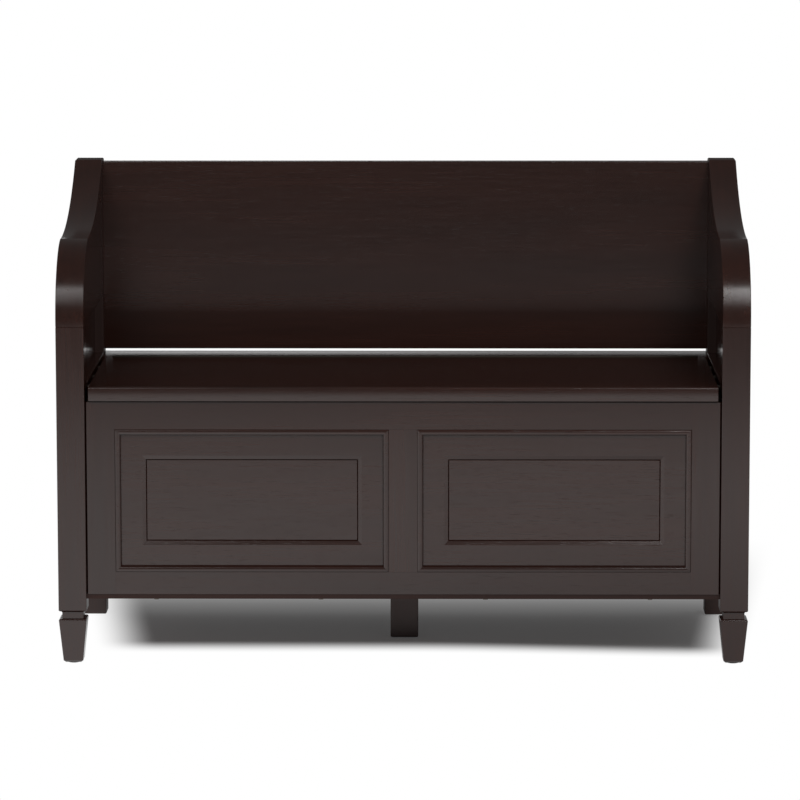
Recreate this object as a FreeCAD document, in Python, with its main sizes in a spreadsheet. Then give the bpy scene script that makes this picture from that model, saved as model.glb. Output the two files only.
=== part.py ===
import FreeCAD, Part
import Sketcher
import math
import os
import re

# Storage bench with a lid for a seat, two S-curved arms and a panelled box front.
# Lengths are millimetres. X runs along the bench, Y from front to back and Z up; the origin is on
# the floor under the middle of the bench.

os.makedirs("parts", exist_ok=True)
doc = FreeCAD.newDocument("storage_bench")

# ---------------------------------------------------------------- driving dimensions

SIZES = [
    # the whole bench
    ("overall_width", 1130, "over the outer faces of the legs"),
    ("overall_depth", 472, "front face of the front legs to back face of the rear legs"),
    ("overall_height", 792, "floor to the top of the rear legs"),
    ("seat_height", 460, "floor to the top of the lid"),
    # legs and feet
    ("post_width", 46, "side of the square legs and thickness of the arms"),
    ("post_edge", 1.5, "rounding of the long edges of legs and arms"),
    ("glide_height", 2, "height of the glides under the feet"),
    ("glide_radius", 9, "radius of the glides"),
    ("nail_radius", 1.2, "radius of a glide's nail"),
    ("nail_length", 12, "length of a glide's nail in the wood"),
    ("foot_top", 75, "height of the top of the spade feet"),
    ("foot_top_width", 43.5, "width of the spade feet at the top"),
    ("foot_toe_width", 30, "width of the spade feet at the floor"),
    ("foot_shoulder", 2.5, "rounding of the top edges of the spade feet"),
    ("toe_chamfer", 3, "chamfer round the bottom of every foot"),
    ("neck_height", 13, "height of the neck between foot and post"),
    ("neck_inset", 5.5, "how far the neck lies inside the post's faces"),
    ("neck_cove", 3.5, "radius of the cove under the post"),
    # arms
    ("arm_joint", 558, "height of the joint between front leg and arm"),
    ("nose_start", 3.5, "straight stretch of the arm's front edge over the joint"),
    ("nose_radius", 131, "radius of the rounded front of the arms"),
    ("crease_depth", 110, "depth from the front at which the nose meets the cove"),
    # sides
    ("side_panel_thickness", 16, "thickness of the side panels"),
    ("side_rail_thickness", 28, "thickness of the lower side rails"),
    ("seat_rail_height", 46, "height of the upper side rails, whose top is level with the seat"),
    ("ledge_width", 15, "width of the ledges under the ends of the lid"),
    ("ledge_height", 18, "height of the ledges"),
    # box front
    ("frame_setback", 7, "front face of the frame behind the front face of the legs"),
    ("frame_thickness", 22, "thickness of rails and stiles"),
    ("frame_chamfer", 2, "chamfer where the side stiles meet the legs"),
    ("top_rail_height", 45, "height of the top rail"),
    ("bottom_rail_height", 37, "height of all lower rails"),
    ("side_stile_width", 48, "width of the left and right stile"),
    ("centre_stile_width", 46.5, "width of the centre stile"),
    ("groove_setback", 8, "front wall of the frame's groove behind its front face"),
    ("groove_width", 8, "width of the frame's groove"),
    ("groove_depth", 9, "depth of the grooves that hold panels"),
    ("tongue_length", 8, "length of tongues and stub tenons in the grooves"),
    ("joint_gap", 0.1, "clearance on each side of a tongue"),
    # front panels and their mouldings
    ("panel_setback", 6, "panel face behind the frame's face"),
    ("panel_thickness", 12, "thickness of the front panels"),
    ("margin_width", 34.3, "flat margin between moulding and lip"),
    ("field_recess", 3.5, "depth of the sunk field"),
    ("lip_width", 6, "width of the sloping lip round the field"),
    ("lip_depth", 2.7, "depth of the sloping lip"),
    ("moulding_width", 10, "width of the bead moulding"),
    ("bead_outer_edge", 5, "height of the bead over the panel, along the frame"),
    ("bead_inner_edge", 2, "height of the bead over the panel, along the margin"),
    ("bead_rise", 4.2, "rise of the bead over the line between its edges"),
    ("mitre_kerf", 0.2, "width of the mitre joints, measured along X"),
    # box
    ("board_height", 108, "underside of the bottom board over the floor"),
    ("board_thickness", 8, "thickness of the bottom board"),
    ("board_setback", 2, "edge of the bottom board behind the faces of the rails"),
    ("support_rail_width", 46, "width of the rail under the bottom board"),
    ("support_rail_height", 25, "height of the rail under the bottom board"),
    ("support_rail_overhang", 22, "how far that rail runs past the inner faces of the legs"),
    ("support_offset", 8, "middle of that rail and the centre leg behind the middle of the bench"),
    ("centre_leg_width", 46.5, "side of the square centre leg"),
    ("back_rail_setback", 12, "back rails in front of the back face of the legs"),
    ("back_rail_thickness", 22, "thickness of the back rails"),
    ("upper_back_rail_height", 46, "height of the upper back rail"),
    ("back_panel_thickness", 8, "thickness of the back panel of the box"),
    # backrest
    ("backrest_gap", 5, "open gap between the seat and the backrest"),
    ("backrest_drop", 3.5, "top edge of the backrest under the top of the legs"),
    ("backrest_setback", 13, "backrest behind the front face of the rear legs"),
    ("backrest_thickness", 20, "thickness of the backrest"),
    ("backrest_edge", 2, "rounding of the long edges of the backrest"),
    # lid
    ("lid_thickness", 24, "thickness of the lid and the hinge rail"),
    ("lid_end_gap", 6, "gap between the lid's ends and the legs"),
    ("lid_rest_gap", 2, "gap between the lid and the frame and ledges under it"),
    ("lid_front_round", 4, "rounding of the lid's upper front edge"),
    ("lid_edge", 1.5, "rounding of the lid's other edges"),
    ("hinge_rail_back", 21, "back edge of the hinge rail in front of the back face of the legs"),
    ("batten_width", 60, "width of the lid's battens"),
    ("batten_thickness", 20, "thickness of the lid's battens"),
    ("batten_inset", 253, "middle of the battens from the ends of the lid"),
    ("batten_front", 45, "front end of the battens behind the front of the bench"),
    ("batten_back", 25, "back end of the battens in front of the hinge"),
    ("bumper_radius", 5, "radius of the bumpers under the lid"),
    ("bumper_clearance", 0.3, "gap between the bumpers and the top rail"),
    ("bumper_inset", 63, "outer bumpers from the ends of the lid"),
    # continuous hinge
    ("hinge_place", 101.5, "hinge axis in front of the back face of the legs"),
    ("hinge_end_gap", 13, "ends of the hinge from the ends of the lid"),
    ("knuckle_count", 33, "knuckles of both leaves together, an odd number"),
    ("knuckle_gap", 0.4, "gap between neighbouring knuckles, and round them"),
    ("barrel_radius", 2.5, "outer radius of the knuckles"),
    ("hinge_pin_radius", 1.2, "radius of the hinge pin"),
    ("pin_clearance", 0.05, "radial clearance of the pin in the knuckles"),
    ("leaf_thickness", 1, "thickness of the leaves"),
    ("leaf_offset", 2.8, "wood edges at the joint, from the hinge axis"),
    ("leaf_height", 18, "height of the leaves under the hinge axis"),
    # fasteners
    ("dowel_radius", 4, "radius of the dowels"),
    ("dowel_reach", 15, "half the length of the dowels"),
    ("dowel_spacing", 18, "distance between the two dowels of a joint"),
    ("hole_gap", 0.1, "radial clearance of dowels and screws in their holes"),
    ("screw_radius", 2, "shank radius of the wood screws"),
    ("screw_head_radius", 4, "head radius of the wood screws"),
    ("screw_head_height", 2.2, "head height of the wood screws"),
    ("board_screw_length", 30, "length of the screws through the bottom board"),
    ("board_screw_margin", 114, "outer screws of the front and back rails from the legs"),
    ("side_screw_margin", 90, "screws of the side rails from the legs"),
    ("support_screw_length", 25, "length of the screws into the support rail"),
    ("support_screw_margin", 69, "outer screws of the support rail from the legs' inner faces"),
    ("rail_screw_length", 25, "length of the screws in the upper side rails and the ledges"),
    ("batten_screw_length", 34, "length of the screws through the battens"),
    ("batten_screw_margin", 30.25, "outer screws of a batten from its ends"),
    ("hinge_screw_radius", 1.3, "shank radius of the hinge screws"),
    ("hinge_screw_head_radius", 2.6, "head radius of the hinge screws"),
    ("hinge_screw_head_height", 0.8, "head height of the hinge screws"),
    ("hinge_screw_length", 14, "length of the hinge screws"),
    ("hinge_screw_margin", 16, "outer screws of the hinge from its ends"),
]

sheet = doc.addObject("Spreadsheet::Sheet", "dims")
for row, (alias, size, meaning) in enumerate(SIZES, start=1):
    sheet.set(f"A{row}", alias)
    sheet.set(f"B{row}", str(size))
    sheet.set(f"C{row}", meaning)
    sheet.setAlias(f"B{row}", alias)
doc.recompute()

ALIASES = {alias for alias, size, meaning in SIZES}


def bound(text):
    """The expression with each named size written as a reference to the sheet."""
    return re.sub(r"[a-z_]+", lambda word: f"dims.{word[0]}" if word[0] in ALIASES else word[0], text)


def number(text):
    """The present value of an expression."""
    return float(sheet.evalExpression(bound(text).replace("dims.", "")))


# ---------------------------------------------------------------- sketches and features

NORMALS = {"XY_Plane": 1, "XZ_Plane": -1, "YZ_Plane": 1}
NODES = {}


def new_body(name, solids=1):
    """A body that becomes the node of the same name, made of so many solids."""
    body = doc.addObject("PartDesign::Body", name)
    body.Label = name
    body.AllowCompound = solids > 1
    NODES[name] = solids
    return body


def sketch_between(body, name, role, low, high):
    """An empty sketch across one of the body's axes, half way between low and high on it."""
    sketch = body.newObject("Sketcher::SketchObject", f"{body.Name}_{name}_sketch")
    plane = next(item for item in body.Origin.OriginFeatures if item.Role == role)
    sketch.AttachmentSupport = [(plane, "")]
    sketch.MapMode = "FlatFace"
    sketch.setExpression("AttachmentOffset.Base.z", bound(f"{NORMALS[role]}*(({low}) + ({high}))/2"))
    return sketch


def bind(sketch, kind, *references, text):
    """A dimension of the sketch that follows an expression."""
    index = sketch.addConstraint(Sketcher.Constraint(kind, *references, number(text)))
    sketch.setExpression(f"Constraints[{index}]", bound(text))


def draw(sketch, corners, arcs=None):
    """A closed outline through the corners. arcs gives, for the edge after a corner, its radius and
    1 where the centre lies to the left of the way along the edge, or -1 where it lies to the right."""
    arcs = arcs or {}
    points = [FreeCAD.Vector(number(across), number(up), 0) for across, up in corners]
    edges = []
    for place, start in enumerate(points):
        end = points[(place + 1) % len(points)]
        if place not in arcs:
            edges.append((sketch.addGeometry(Part.LineSegment(start, end)), 1, 2))
            continue
        radius, side = number(arcs[place][0]), arcs[place][1]
        chord = end - start
        left = FreeCAD.Vector(-chord.y, chord.x, 0).normalize()
        centre = (start + end) / 2 + left * side * math.sqrt(radius**2 - (chord.Length / 2)**2)
        first, last = (start, end) if side > 0 else (end, start)
        angles = [math.atan2(point.y - centre.y, point.x - centre.x) for point in (first, last)]
        circle = Part.Circle(centre, FreeCAD.Vector(0, 0, 1), radius)
        edge = sketch.addGeometry(Part.ArcOfCircle(circle, angles[0], angles[1]))
        edges.append((edge, 1, 2) if side > 0 else (edge, 2, 1))
        bind(sketch, "Radius", edge, text=arcs[place][0])
    for place, (edge, start, end) in enumerate(edges):
        following, joined, unused = edges[(place + 1) % len(edges)]
        sketch.addConstraint(Sketcher.Constraint("Coincident", edge, end, following, joined))
        bind(sketch, "DistanceX", -1, 1, edge, start, text=corners[place][0])
        bind(sketch, "DistanceY", -1, 1, edge, start, text=corners[place][1])


def draw_circles(sketch, centres, radius):
    """A circle of one radius round each centre."""
    for across, up in centres:
        centre = FreeCAD.Vector(number(across), number(up), 0)
        circle = sketch.addGeometry(Part.Circle(centre, FreeCAD.Vector(0, 0, 1), number(radius)))
        bind(sketch, "DistanceX", -1, 1, circle, 3, text=across)
        bind(sketch, "DistanceY", -1, 1, circle, 3, text=up)
        bind(sketch, "Radius", circle, text=radius)


def through(body, kind, name, sketch, low, high):
    """A Pad or Pocket of the sketch from low to high."""
    feature = body.newObject(f"PartDesign::{kind}", f"{body.Name}_{name}")
    feature.Profile = sketch
    feature.SideType = "Symmetric"
    feature.setExpression("Length", bound(f"({high}) - ({low})"))
    body.Tip = feature
    return feature


def outline(body, kind, name, role, corners, low, high, arcs=None):
    """Pads or pockets an outline from low to high."""
    sketch = sketch_between(body, name, role, low, high)
    draw(sketch, corners, arcs)
    return through(body, kind, name, sketch, low, high)


def rounds(body, kind, name, role, centres, radius, low, high):
    """Pads or pockets circles from low to high."""
    sketch = sketch_between(body, name, role, low, high)
    draw_circles(sketch, centres, radius)
    return through(body, kind, name, sketch, low, high)


def rectangle(across, up):
    """Corners of the rectangle between two pairs of expressions."""
    return [(across[0], up[0]), (across[1], up[0]), (across[1], up[1]), (across[0], up[1])]


def block(body, kind, name, x, y, z):
    """Pads or pockets a straight block between three pairs of expressions."""
    return outline(body, kind, name, "XY_Plane", rectangle(x, y), z[0], z[1])


def board(name, x, y, z):
    """A straight board as a body of its own."""
    body = new_body(name)
    block(body, "Pad", "board", x, y, z)
    return body


def mirrored(side, pair):
    """A pair of X expressions for the right side, in rising order on the given side."""
    low, high = pair
    return (low, high) if side > 0 else (f"-({high})", f"-({low})")


def edges_where(shape, test):
    """Names of the edges whose bounding box passes the test."""
    return [f"Edge{place}" for place, edge in enumerate(shape.Edges, start=1) if test(edge.BoundBox)]


def dress(body, kind, name, size, test):
    """A Fillet or Chamfer on the edges of the body's present shape that pass the test."""
    doc.recompute()
    base = body.Tip
    names = edges_where(base.Shape, test)
    if not names:
        raise RuntimeError(f"{body.Name} has no edges for {name}")
    feature = body.newObject(f"PartDesign::{kind}", f"{body.Name}_{name}")
    feature.Base = (base, names)
    feature.setExpression("Radius" if kind == "Fillet" else "Size", bound(size))
    body.Tip = feature
    return feature


def near(one, other):
    """Whether two numbers are the same length within a hundredth of a millimetre."""
    return abs(one - other) < 0.01


# ---------------------------------------------------------------- places that several pieces share

FRONT = "(-overall_depth/2)"
BACK = "(overall_depth/2)"
OUTSIDE = "(overall_width/2)"
POST_INSIDE = "(overall_width/2 - post_width)"
POST_MIDDLE = "((overall_width - post_width)/2)"
FRONT_LEG_MIDDLE = "((post_width - overall_depth)/2)"
REAR_LEG_MIDDLE = "((overall_depth - post_width)/2)"
BEHIND_FRONT_LEG = "(post_width - overall_depth/2)"
BEFORE_REAR_LEG = "(overall_depth/2 - post_width)"

LID_UNDERSIDE = "(seat_height - lid_thickness)"
FRAME_TOP = "(seat_height - lid_thickness - lid_rest_gap)"
FRAME_BOTTOM = "(board_height + board_thickness)"
FRAME_FACE = "(frame_setback - overall_depth/2)"
FRAME_BACK = "(frame_setback + frame_thickness - overall_depth/2)"
FRAME_MIDDLE = "(frame_setback + frame_thickness/2 - overall_depth/2)"
LOWER_RAIL_TOP = "(board_height + board_thickness + bottom_rail_height)"
TOP_RAIL_BOTTOM = "(seat_height - lid_thickness - lid_rest_gap - top_rail_height)"
GROOVE_FRONT = "(frame_setback + groove_setback - overall_depth/2)"
GROOVE_BACK = "(frame_setback + groove_setback + groove_width - overall_depth/2)"
OPENING_INNER = "(centre_stile_width/2)"
OPENING_OUTER = "(overall_width/2 - post_width - side_stile_width)"
PANEL_FACE = "(frame_setback + panel_setback - overall_depth/2)"

BACK_RAIL_FRONT = "(overall_depth/2 - back_rail_setback - back_rail_thickness)"
BACK_RAIL_BACK = "(overall_depth/2 - back_rail_setback)"
BACK_RAIL_MIDDLE = "(overall_depth/2 - back_rail_setback - back_rail_thickness/2)"
UPPER_BACK_RAIL_BOTTOM = "(seat_height - lid_thickness - upper_back_rail_height)"
BACKREST_FRONT = "(overall_depth/2 - post_width + backrest_setback)"
BACKREST_BACK = "(overall_depth/2 - post_width + backrest_setback + backrest_thickness)"

HINGE_AXIS = "(overall_depth/2 - hinge_place)"
LID_BACK = "(overall_depth/2 - hinge_place - leaf_offset)"
HINGE_RAIL_FRONT = "(overall_depth/2 - hinge_place + leaf_offset)"
HINGE_RAIL_BACK = "(overall_depth/2 - hinge_rail_back)"
LID_END = "(overall_width/2 - post_width - lid_end_gap)"
HINGE_END = "(overall_width/2 - post_width - lid_end_gap - hinge_end_gap)"

TOE = "glide_height"
NECK_TOP = "(foot_top + neck_height)"
SUPPORT_RAIL_BOTTOM = "(board_height - support_rail_height)"
SIDES = {"left": -1, "right": 1}


# ---------------------------------------------------------------- rows of dowels and screws

def dowel_row(role, centres, face):
    """Dowels that cross a joint face at right angles, centred on it."""
    return {"role": role, "centres": centres, "face": face}


def drill(body, name, row):
    """The holes of a dowel row in a piece on either side of its joint face."""
    reach = "(dowel_reach + hole_gap)"
    rounds(body, "Pocket", name, row["role"], row["centres"], "dowel_radius + hole_gap",
           f"{row['face']} - {reach}", f"{row['face']} + {reach}")


def dowels(name, rows):
    """The dowels of several rows as one node."""
    body = new_body(name, sum(len(row["centres"]) for row in rows))
    for place, row in enumerate(rows):
        rounds(body, "Pad", f"row{place}", row["role"], row["centres"], "dowel_radius",
               f"{row['face']} - dowel_reach", f"{row['face']} + dowel_reach")


def screw_row(role, centres, seat, way, length, kind="screw"):
    """Screws whose heads bear on the face at seat and whose shanks run the given way along the axis."""
    return {"role": role, "centres": centres, "seat": seat, "way": way, "length": length, "kind": kind}


def span(start, way, length):
    """The low and high end of a stretch that runs a given way from start."""
    return (start, f"{start} + {length}") if way > 0 else (f"{start} - {length}", start)


def pilot(body, name, row):
    """The holes that a row of screws needs in a piece."""
    low, high = span(row["seat"], row["way"], f"({row['length']} + hole_gap)")
    rounds(body, "Pocket", name, row["role"], row["centres"], f"{row['kind']}_radius + hole_gap", low, high)


def screws(name, rows):
    """The screws of several rows as one node, each a shank and a round head."""
    body = new_body(name, sum(len(row["centres"]) for row in rows))
    for place, row in enumerate(rows):
        kind = row["kind"]
        low, high = span(row["seat"], row["way"], row["length"])
        rounds(body, "Pad", f"shank{place}", row["role"], row["centres"], f"{kind}_radius", low, high)
        low, high = span(row["seat"], -row["way"], f"{kind}_head_height")
        rounds(body, "Pad", f"head{place}", row["role"], row["centres"], f"{kind}_head_radius", low, high)


def both_sides(*places):
    """The same distances to both sides of the middle of the bench."""
    return [f"{sign}({place})" for place in places for sign in ("-", "")]


def four_across(outer):
    """Four evenly spaced places along the bench, the outer two at the given distance from its middle."""
    return both_sides(f"{outer}/3", outer)


ARM_HEEL_LOW = "(arm_joint + (overall_height - arm_joint)/4)"
ARM_HEEL_HIGH = "(arm_joint + (overall_height - arm_joint)*3/4)"
LOWER_DOWEL = "(board_height + board_thickness + dowel_reach)"
NECK_DOWEL = "(post_width/2 - overall_depth/2 - dowel_radius)"

arm_front = {}
arm_back = {}
stile_outer = {}
upper_back = {}
lower_back = {}
side_front = {}
side_back = {}
hinge_rail_end = {}
seat_rail_screws = {}
ledge_screws = {}
for hand, side in SIDES.items():
    middle = f"{side}*{POST_MIDDLE}"
    inside = f"{side}*{POST_INSIDE}"
    pair = [f"{middle} - dowel_spacing/2", f"{middle} + dowel_spacing/2"]
    arm_front[hand] = dowel_row("XY_Plane", [(x, NECK_DOWEL) for x in pair], "arm_joint")
    arm_back[hand] = dowel_row("XZ_Plane", [(middle, ARM_HEEL_LOW), (middle, ARM_HEEL_HIGH)],
                               BEFORE_REAR_LEG)
    stile_heights = [f"{FRAME_BOTTOM} + ({FRAME_TOP} - {FRAME_BOTTOM})*{share}/10" for share in (1, 5, 9)]
    stile_outer[hand] = dowel_row("YZ_Plane", [(FRAME_MIDDLE, z) for z in stile_heights], inside)
    high = f"{LID_UNDERSIDE} - dowel_radius*3"
    upper_back[hand] = dowel_row(
        "YZ_Plane", [(BACK_RAIL_MIDDLE, high), (BACK_RAIL_MIDDLE, f"{high} - dowel_spacing")], inside)
    lower_back[hand] = dowel_row("YZ_Plane", [(BACK_RAIL_MIDDLE, LOWER_DOWEL)], inside)
    side_front[hand] = dowel_row("XZ_Plane", [(x, LOWER_DOWEL) for x in pair], BEHIND_FRONT_LEG)
    side_back[hand] = dowel_row("XZ_Plane", [(x, LOWER_DOWEL) for x in pair], BEFORE_REAR_LEG)
    rail_y = [f"{HINGE_RAIL_FRONT} + dowel_spacing*{share}" for share in (1, 2)]
    hinge_rail_end[hand] = dowel_row(
        "YZ_Plane", [(y, "seat_height - lid_thickness/2") for y in rail_y], inside)
    run = [f"{BEHIND_FRONT_LEG} + (overall_depth - 2*post_width)*{share}/10" for share in (1, 4, 7)]
    seat_rail_screws[hand] = screw_row(
        "YZ_Plane", [(y, "seat_height - lid_thickness/2") for y in run], inside, side, "rail_screw_length")
    ledge_screws[hand] = screw_row(
        "YZ_Plane", [(y, f"{FRAME_TOP} - ledge_height/2") for y in run],
        f"{side}*({POST_INSIDE} - ledge_width)", side, "rail_screw_length")

board_x = four_across(f"({POST_INSIDE} - board_screw_margin)")
support_x = four_across(f"({POST_INSIDE} - support_screw_margin)")
board_front = screw_row("XY_Plane", [(x, FRAME_MIDDLE) for x in board_x],
                        "board_height", 1, "board_screw_length")
board_back = screw_row("XY_Plane", [(x, BACK_RAIL_MIDDLE) for x in board_x],
                       "board_height", 1, "board_screw_length")
board_sides = screw_row("XY_Plane", [(x, y) for x in both_sides(POST_MIDDLE)
                                     for y in both_sides(f"{BEFORE_REAR_LEG} - side_screw_margin")],
                        "board_height", 1, "board_screw_length")
support_screws = screw_row("XY_Plane", [(x, "support_offset") for x in support_x],
                           FRAME_BOTTOM, -1, "support_screw_length")
centre_dowels = dowel_row("XY_Plane", [(x, "support_offset") for x in both_sides("dowel_spacing/2")],
                          SUPPORT_RAIL_BOTTOM)

# ---------------------------------------------------------------- legs and feet

LEG_CENTRES = [(f"{side}*{POST_MIDDLE}", y) for side in (-1, 1)
               for y in (FRONT_LEG_MIDDLE, REAR_LEG_MIDDLE)]
GLIDE_CENTRES = LEG_CENTRES + [("0", "support_offset")]
SIDE_GROOVE_X = (f"{POST_MIDDLE} - side_panel_thickness/2 - joint_gap",
                 f"{POST_MIDDLE} + side_panel_thickness/2 + joint_gap")
SIDE_GROOVE_BOTTOM = f"{LOWER_RAIL_TOP} - groove_depth"
BACK_GROOVE_Y = (f"{BACK_RAIL_MIDDLE} - back_panel_thickness/2 - joint_gap",
                 f"{BACK_RAIL_MIDDLE} + back_panel_thickness/2 + joint_gap")
BACK_GROOVE_Z = (f"{LOWER_RAIL_TOP} - groove_depth", f"{UPPER_BACK_RAIL_BOTTOM} + groove_depth")


def square(middle_x, middle_y, width):
    """Corners of a square round a middle."""
    return rectangle((f"{middle_x} - ({width})/2", f"{middle_x} + ({width})/2"),
                     (f"{middle_y} - ({width})/2", f"{middle_y} + ({width})/2"))


def nail_hole(body, centre):
    """The hole that a glide's nail takes in the bottom of a foot."""
    rounds(body, "Pocket", "nail_hole", "XY_Plane", [centre], "nail_radius + hole_gap",
           TOE, f"{TOE} + nail_length + hole_gap")


def upright(box):
    """Whether an edge stands upright."""
    return box.ZLength > 20 and box.XLength < 0.01 and box.YLength < 0.01


def front_leg(hand, side):
    """A square post over a narrow neck and a tapered spade foot."""
    middle = (f"{side}*{POST_MIDDLE}", FRONT_LEG_MIDDLE)
    body = new_body(f"front_{hand}_leg")
    outline(body, "Pad", "post", "XY_Plane", square(*middle, "post_width"), NECK_TOP, "arm_joint")
    dress(body, "Fillet", "long_edges", "post_edge", upright)
    post_bottom = number(NECK_TOP)
    dress(body, "Chamfer", "bottom_edges", "post_edge",
          lambda box: near(box.ZMax, post_bottom) and near(box.ZMin, post_bottom))
    outline(body, "Pad", "neck", "XY_Plane", square(*middle, "post_width - 2*neck_inset"),
            "foot_top", NECK_TOP)
    dress(body, "Fillet", "cove", "neck_cove",
          lambda box: near(box.ZMin, post_bottom) and near(box.ZMax, post_bottom)
          and near(max(box.XLength, box.YLength), number("post_width - 2*neck_inset")))
    foot_top = sketch_between(body, "foot_top", "XY_Plane", "foot_top", "foot_top")
    draw(foot_top, square(*middle, "foot_top_width"))
    toe = sketch_between(body, "toe", "XY_Plane", TOE, TOE)
    draw(toe, square(*middle, "foot_toe_width"))
    foot = body.newObject("PartDesign::AdditiveLoft", f"{body.Name}_foot")
    foot.Profile = foot_top
    foot.Sections = [toe]
    foot.Ruled = True
    body.Tip = foot
    dress(body, "Fillet", "shoulder", "foot_shoulder",
          lambda box: near(box.ZMin, number("foot_top")) and near(box.ZMax, number("foot_top"))
          and near(max(box.XLength, box.YLength), number("foot_top_width")))
    dress(body, "Chamfer", "toe_edges", "toe_chamfer",
          lambda box: near(box.ZMax, number(TOE)) and near(box.ZMin, number(TOE)))
    nail_hole(body, middle)
    drill(body, "arm_holes", arm_front[hand])
    drill(body, "stile_holes", stile_outer[hand])
    drill(body, "rail_holes", side_front[hand])
    block(body, "Pocket", "side_groove", mirrored(side, SIDE_GROOVE_X),
          (f"{BEHIND_FRONT_LEG} - groove_depth", BEHIND_FRONT_LEG), (SIDE_GROOVE_BOTTOM, "arm_joint"))


def rear_leg(hand, side):
    """A plain square post from the floor to above the backrest."""
    middle = (f"{side}*{POST_MIDDLE}", REAR_LEG_MIDDLE)
    body = new_body(f"rear_{hand}_leg")
    outline(body, "Pad", "post", "XY_Plane", square(*middle, "post_width"), TOE, "overall_height")
    dress(body, "Fillet", "long_edges", "post_edge", upright)
    dress(body, "Chamfer", "top_edges", "post_edge", lambda box: near(box.ZMin, number("overall_height")))
    nail_hole(body, middle)
    drill(body, "arm_holes", arm_back[hand])
    drill(body, "upper_rail_holes", upper_back[hand])
    drill(body, "lower_rail_holes", lower_back[hand])
    drill(body, "side_rail_holes", side_back[hand])
    block(body, "Pocket", "side_groove", mirrored(side, SIDE_GROOVE_X),
          (BEFORE_REAR_LEG, f"{BEFORE_REAR_LEG} + groove_depth"),
          (SIDE_GROOVE_BOTTOM, "arm_joint + groove_depth"))
    housing = mirrored(side, (POST_INSIDE, f"{POST_INSIDE} + groove_depth"))
    block(body, "Pocket", "backrest_groove", housing,
          (f"{BACKREST_FRONT} - joint_gap", f"{BACKREST_BACK} + joint_gap"),
          ("seat_height + backrest_gap", "overall_height - backrest_drop + joint_gap"))
    block(body, "Pocket", "back_panel_groove", housing, BACK_GROOVE_Y, BACK_GROOVE_Z)


for hand, side in SIDES.items():
    front_leg(hand, side)
    rear_leg(hand, side)

glides = new_body("leg_glides", len(GLIDE_CENTRES))
rounds(glides, "Pad", "discs", "XY_Plane", GLIDE_CENTRES, "glide_radius", "0", TOE)
rounds(glides, "Pad", "nails", "XY_Plane", GLIDE_CENTRES, "nail_radius", "glide_height/2",
       f"{TOE} + nail_length")

# ---------------------------------------------------------------- arms and sides

CREASE_Y = "(crease_depth - overall_depth/2)"
CREASE_Z = "(arm_joint + nose_start + sqrt(nose_radius^2 - (nose_radius - crease_depth)^2))"
COVE_RUN = f"({BEFORE_REAR_LEG} - {CREASE_Y})"
COVE_RISE = f"(overall_height - {CREASE_Z})"
COVE_RADIUS = f"(({COVE_RUN}^2 + {COVE_RISE}^2)/(2*{COVE_RISE}))"


def arm(hand, side):
    """A thick board: a round nose over the front leg, then a hollow that starts level at the crease and
    climbs to the top of the rear leg."""
    body = new_body(f"{hand}_arm")
    profile = [(FRONT, "arm_joint"), (BEFORE_REAR_LEG, "arm_joint"), (BEFORE_REAR_LEG, "overall_height"),
               (CREASE_Y, CREASE_Z), (FRONT, "arm_joint + nose_start")]
    outline(body, "Pad", "board", "YZ_Plane", profile, *mirrored(side, (POST_INSIDE, OUTSIDE)),
            arcs={2: (COVE_RADIUS, -1), 3: ("nose_radius", 1)})
    joint, crease, top = number("arm_joint"), number(CREASE_Y), number("overall_height")
    dress(body, "Fillet", "edges", "post_edge",
          lambda box: (box.XLength < 0.01 and box.ZMax > joint + 1) or near(box.ZMin, top)
          or (near(box.YMin, crease) and near(box.YMax, crease)))
    drill(body, "front_holes", arm_front[hand])
    drill(body, "back_holes", arm_back[hand])
    block(body, "Pocket", "side_groove", mirrored(side, SIDE_GROOVE_X),
          (f"{BEHIND_FRONT_LEG} - groove_depth", BEFORE_REAR_LEG), ("arm_joint", "arm_joint + groove_depth"))


def side_pieces(hand, side):
    """The panel of a side, the rail that it stands on, the rail at seat level and the lid's ledge."""
    panel = board(f"{hand}_side_panel",
                  mirrored(side, (f"{POST_MIDDLE} - side_panel_thickness/2",
                                  f"{POST_MIDDLE} + side_panel_thickness/2")),
                  (f"{BEHIND_FRONT_LEG} - tongue_length", f"{BEFORE_REAR_LEG} + tongue_length"),
                  (f"{LOWER_RAIL_TOP} - tongue_length", "arm_joint + tongue_length"))
    pilot(panel, "rail_screw_holes", seat_rail_screws[hand])

    lower = board(f"{hand}_lower_side_rail",
                  mirrored(side, (f"{POST_MIDDLE} - side_rail_thickness/2",
                                  f"{POST_MIDDLE} + side_rail_thickness/2")),
                  (BEHIND_FRONT_LEG, BEFORE_REAR_LEG), (FRAME_BOTTOM, LOWER_RAIL_TOP))
    block(lower, "Pocket", "groove", mirrored(side, SIDE_GROOVE_X), (BEHIND_FRONT_LEG, BEFORE_REAR_LEG),
          (SIDE_GROOVE_BOTTOM, LOWER_RAIL_TOP))
    drill(lower, "front_holes", side_front[hand])
    drill(lower, "back_holes", side_back[hand])
    pilot(lower, "board_holes", board_sides)

    upper = board(f"{hand}_upper_side_rail",
                  mirrored(side, (POST_INSIDE, f"{POST_MIDDLE} - side_panel_thickness/2")),
                  (BEHIND_FRONT_LEG, BEFORE_REAR_LEG), ("seat_height - seat_rail_height", "seat_height"))
    pilot(upper, "screw_holes", seat_rail_screws[hand])
    pilot(upper, "ledge_screw_holes", ledge_screws[hand])
    drill(upper, "hinge_rail_holes", hinge_rail_end[hand])

    ledge = board(f"{hand}_lid_ledge", mirrored(side, (f"{POST_INSIDE} - ledge_width", POST_INSIDE)),
                  (BEHIND_FRONT_LEG, BEFORE_REAR_LEG), (f"{FRAME_TOP} - ledge_height", FRAME_TOP))
    pilot(ledge, "screw_holes", ledge_screws[hand])


for hand, side in SIDES.items():
    arm(hand, side)
    side_pieces(hand, side)

# ---------------------------------------------------------------- box front

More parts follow.
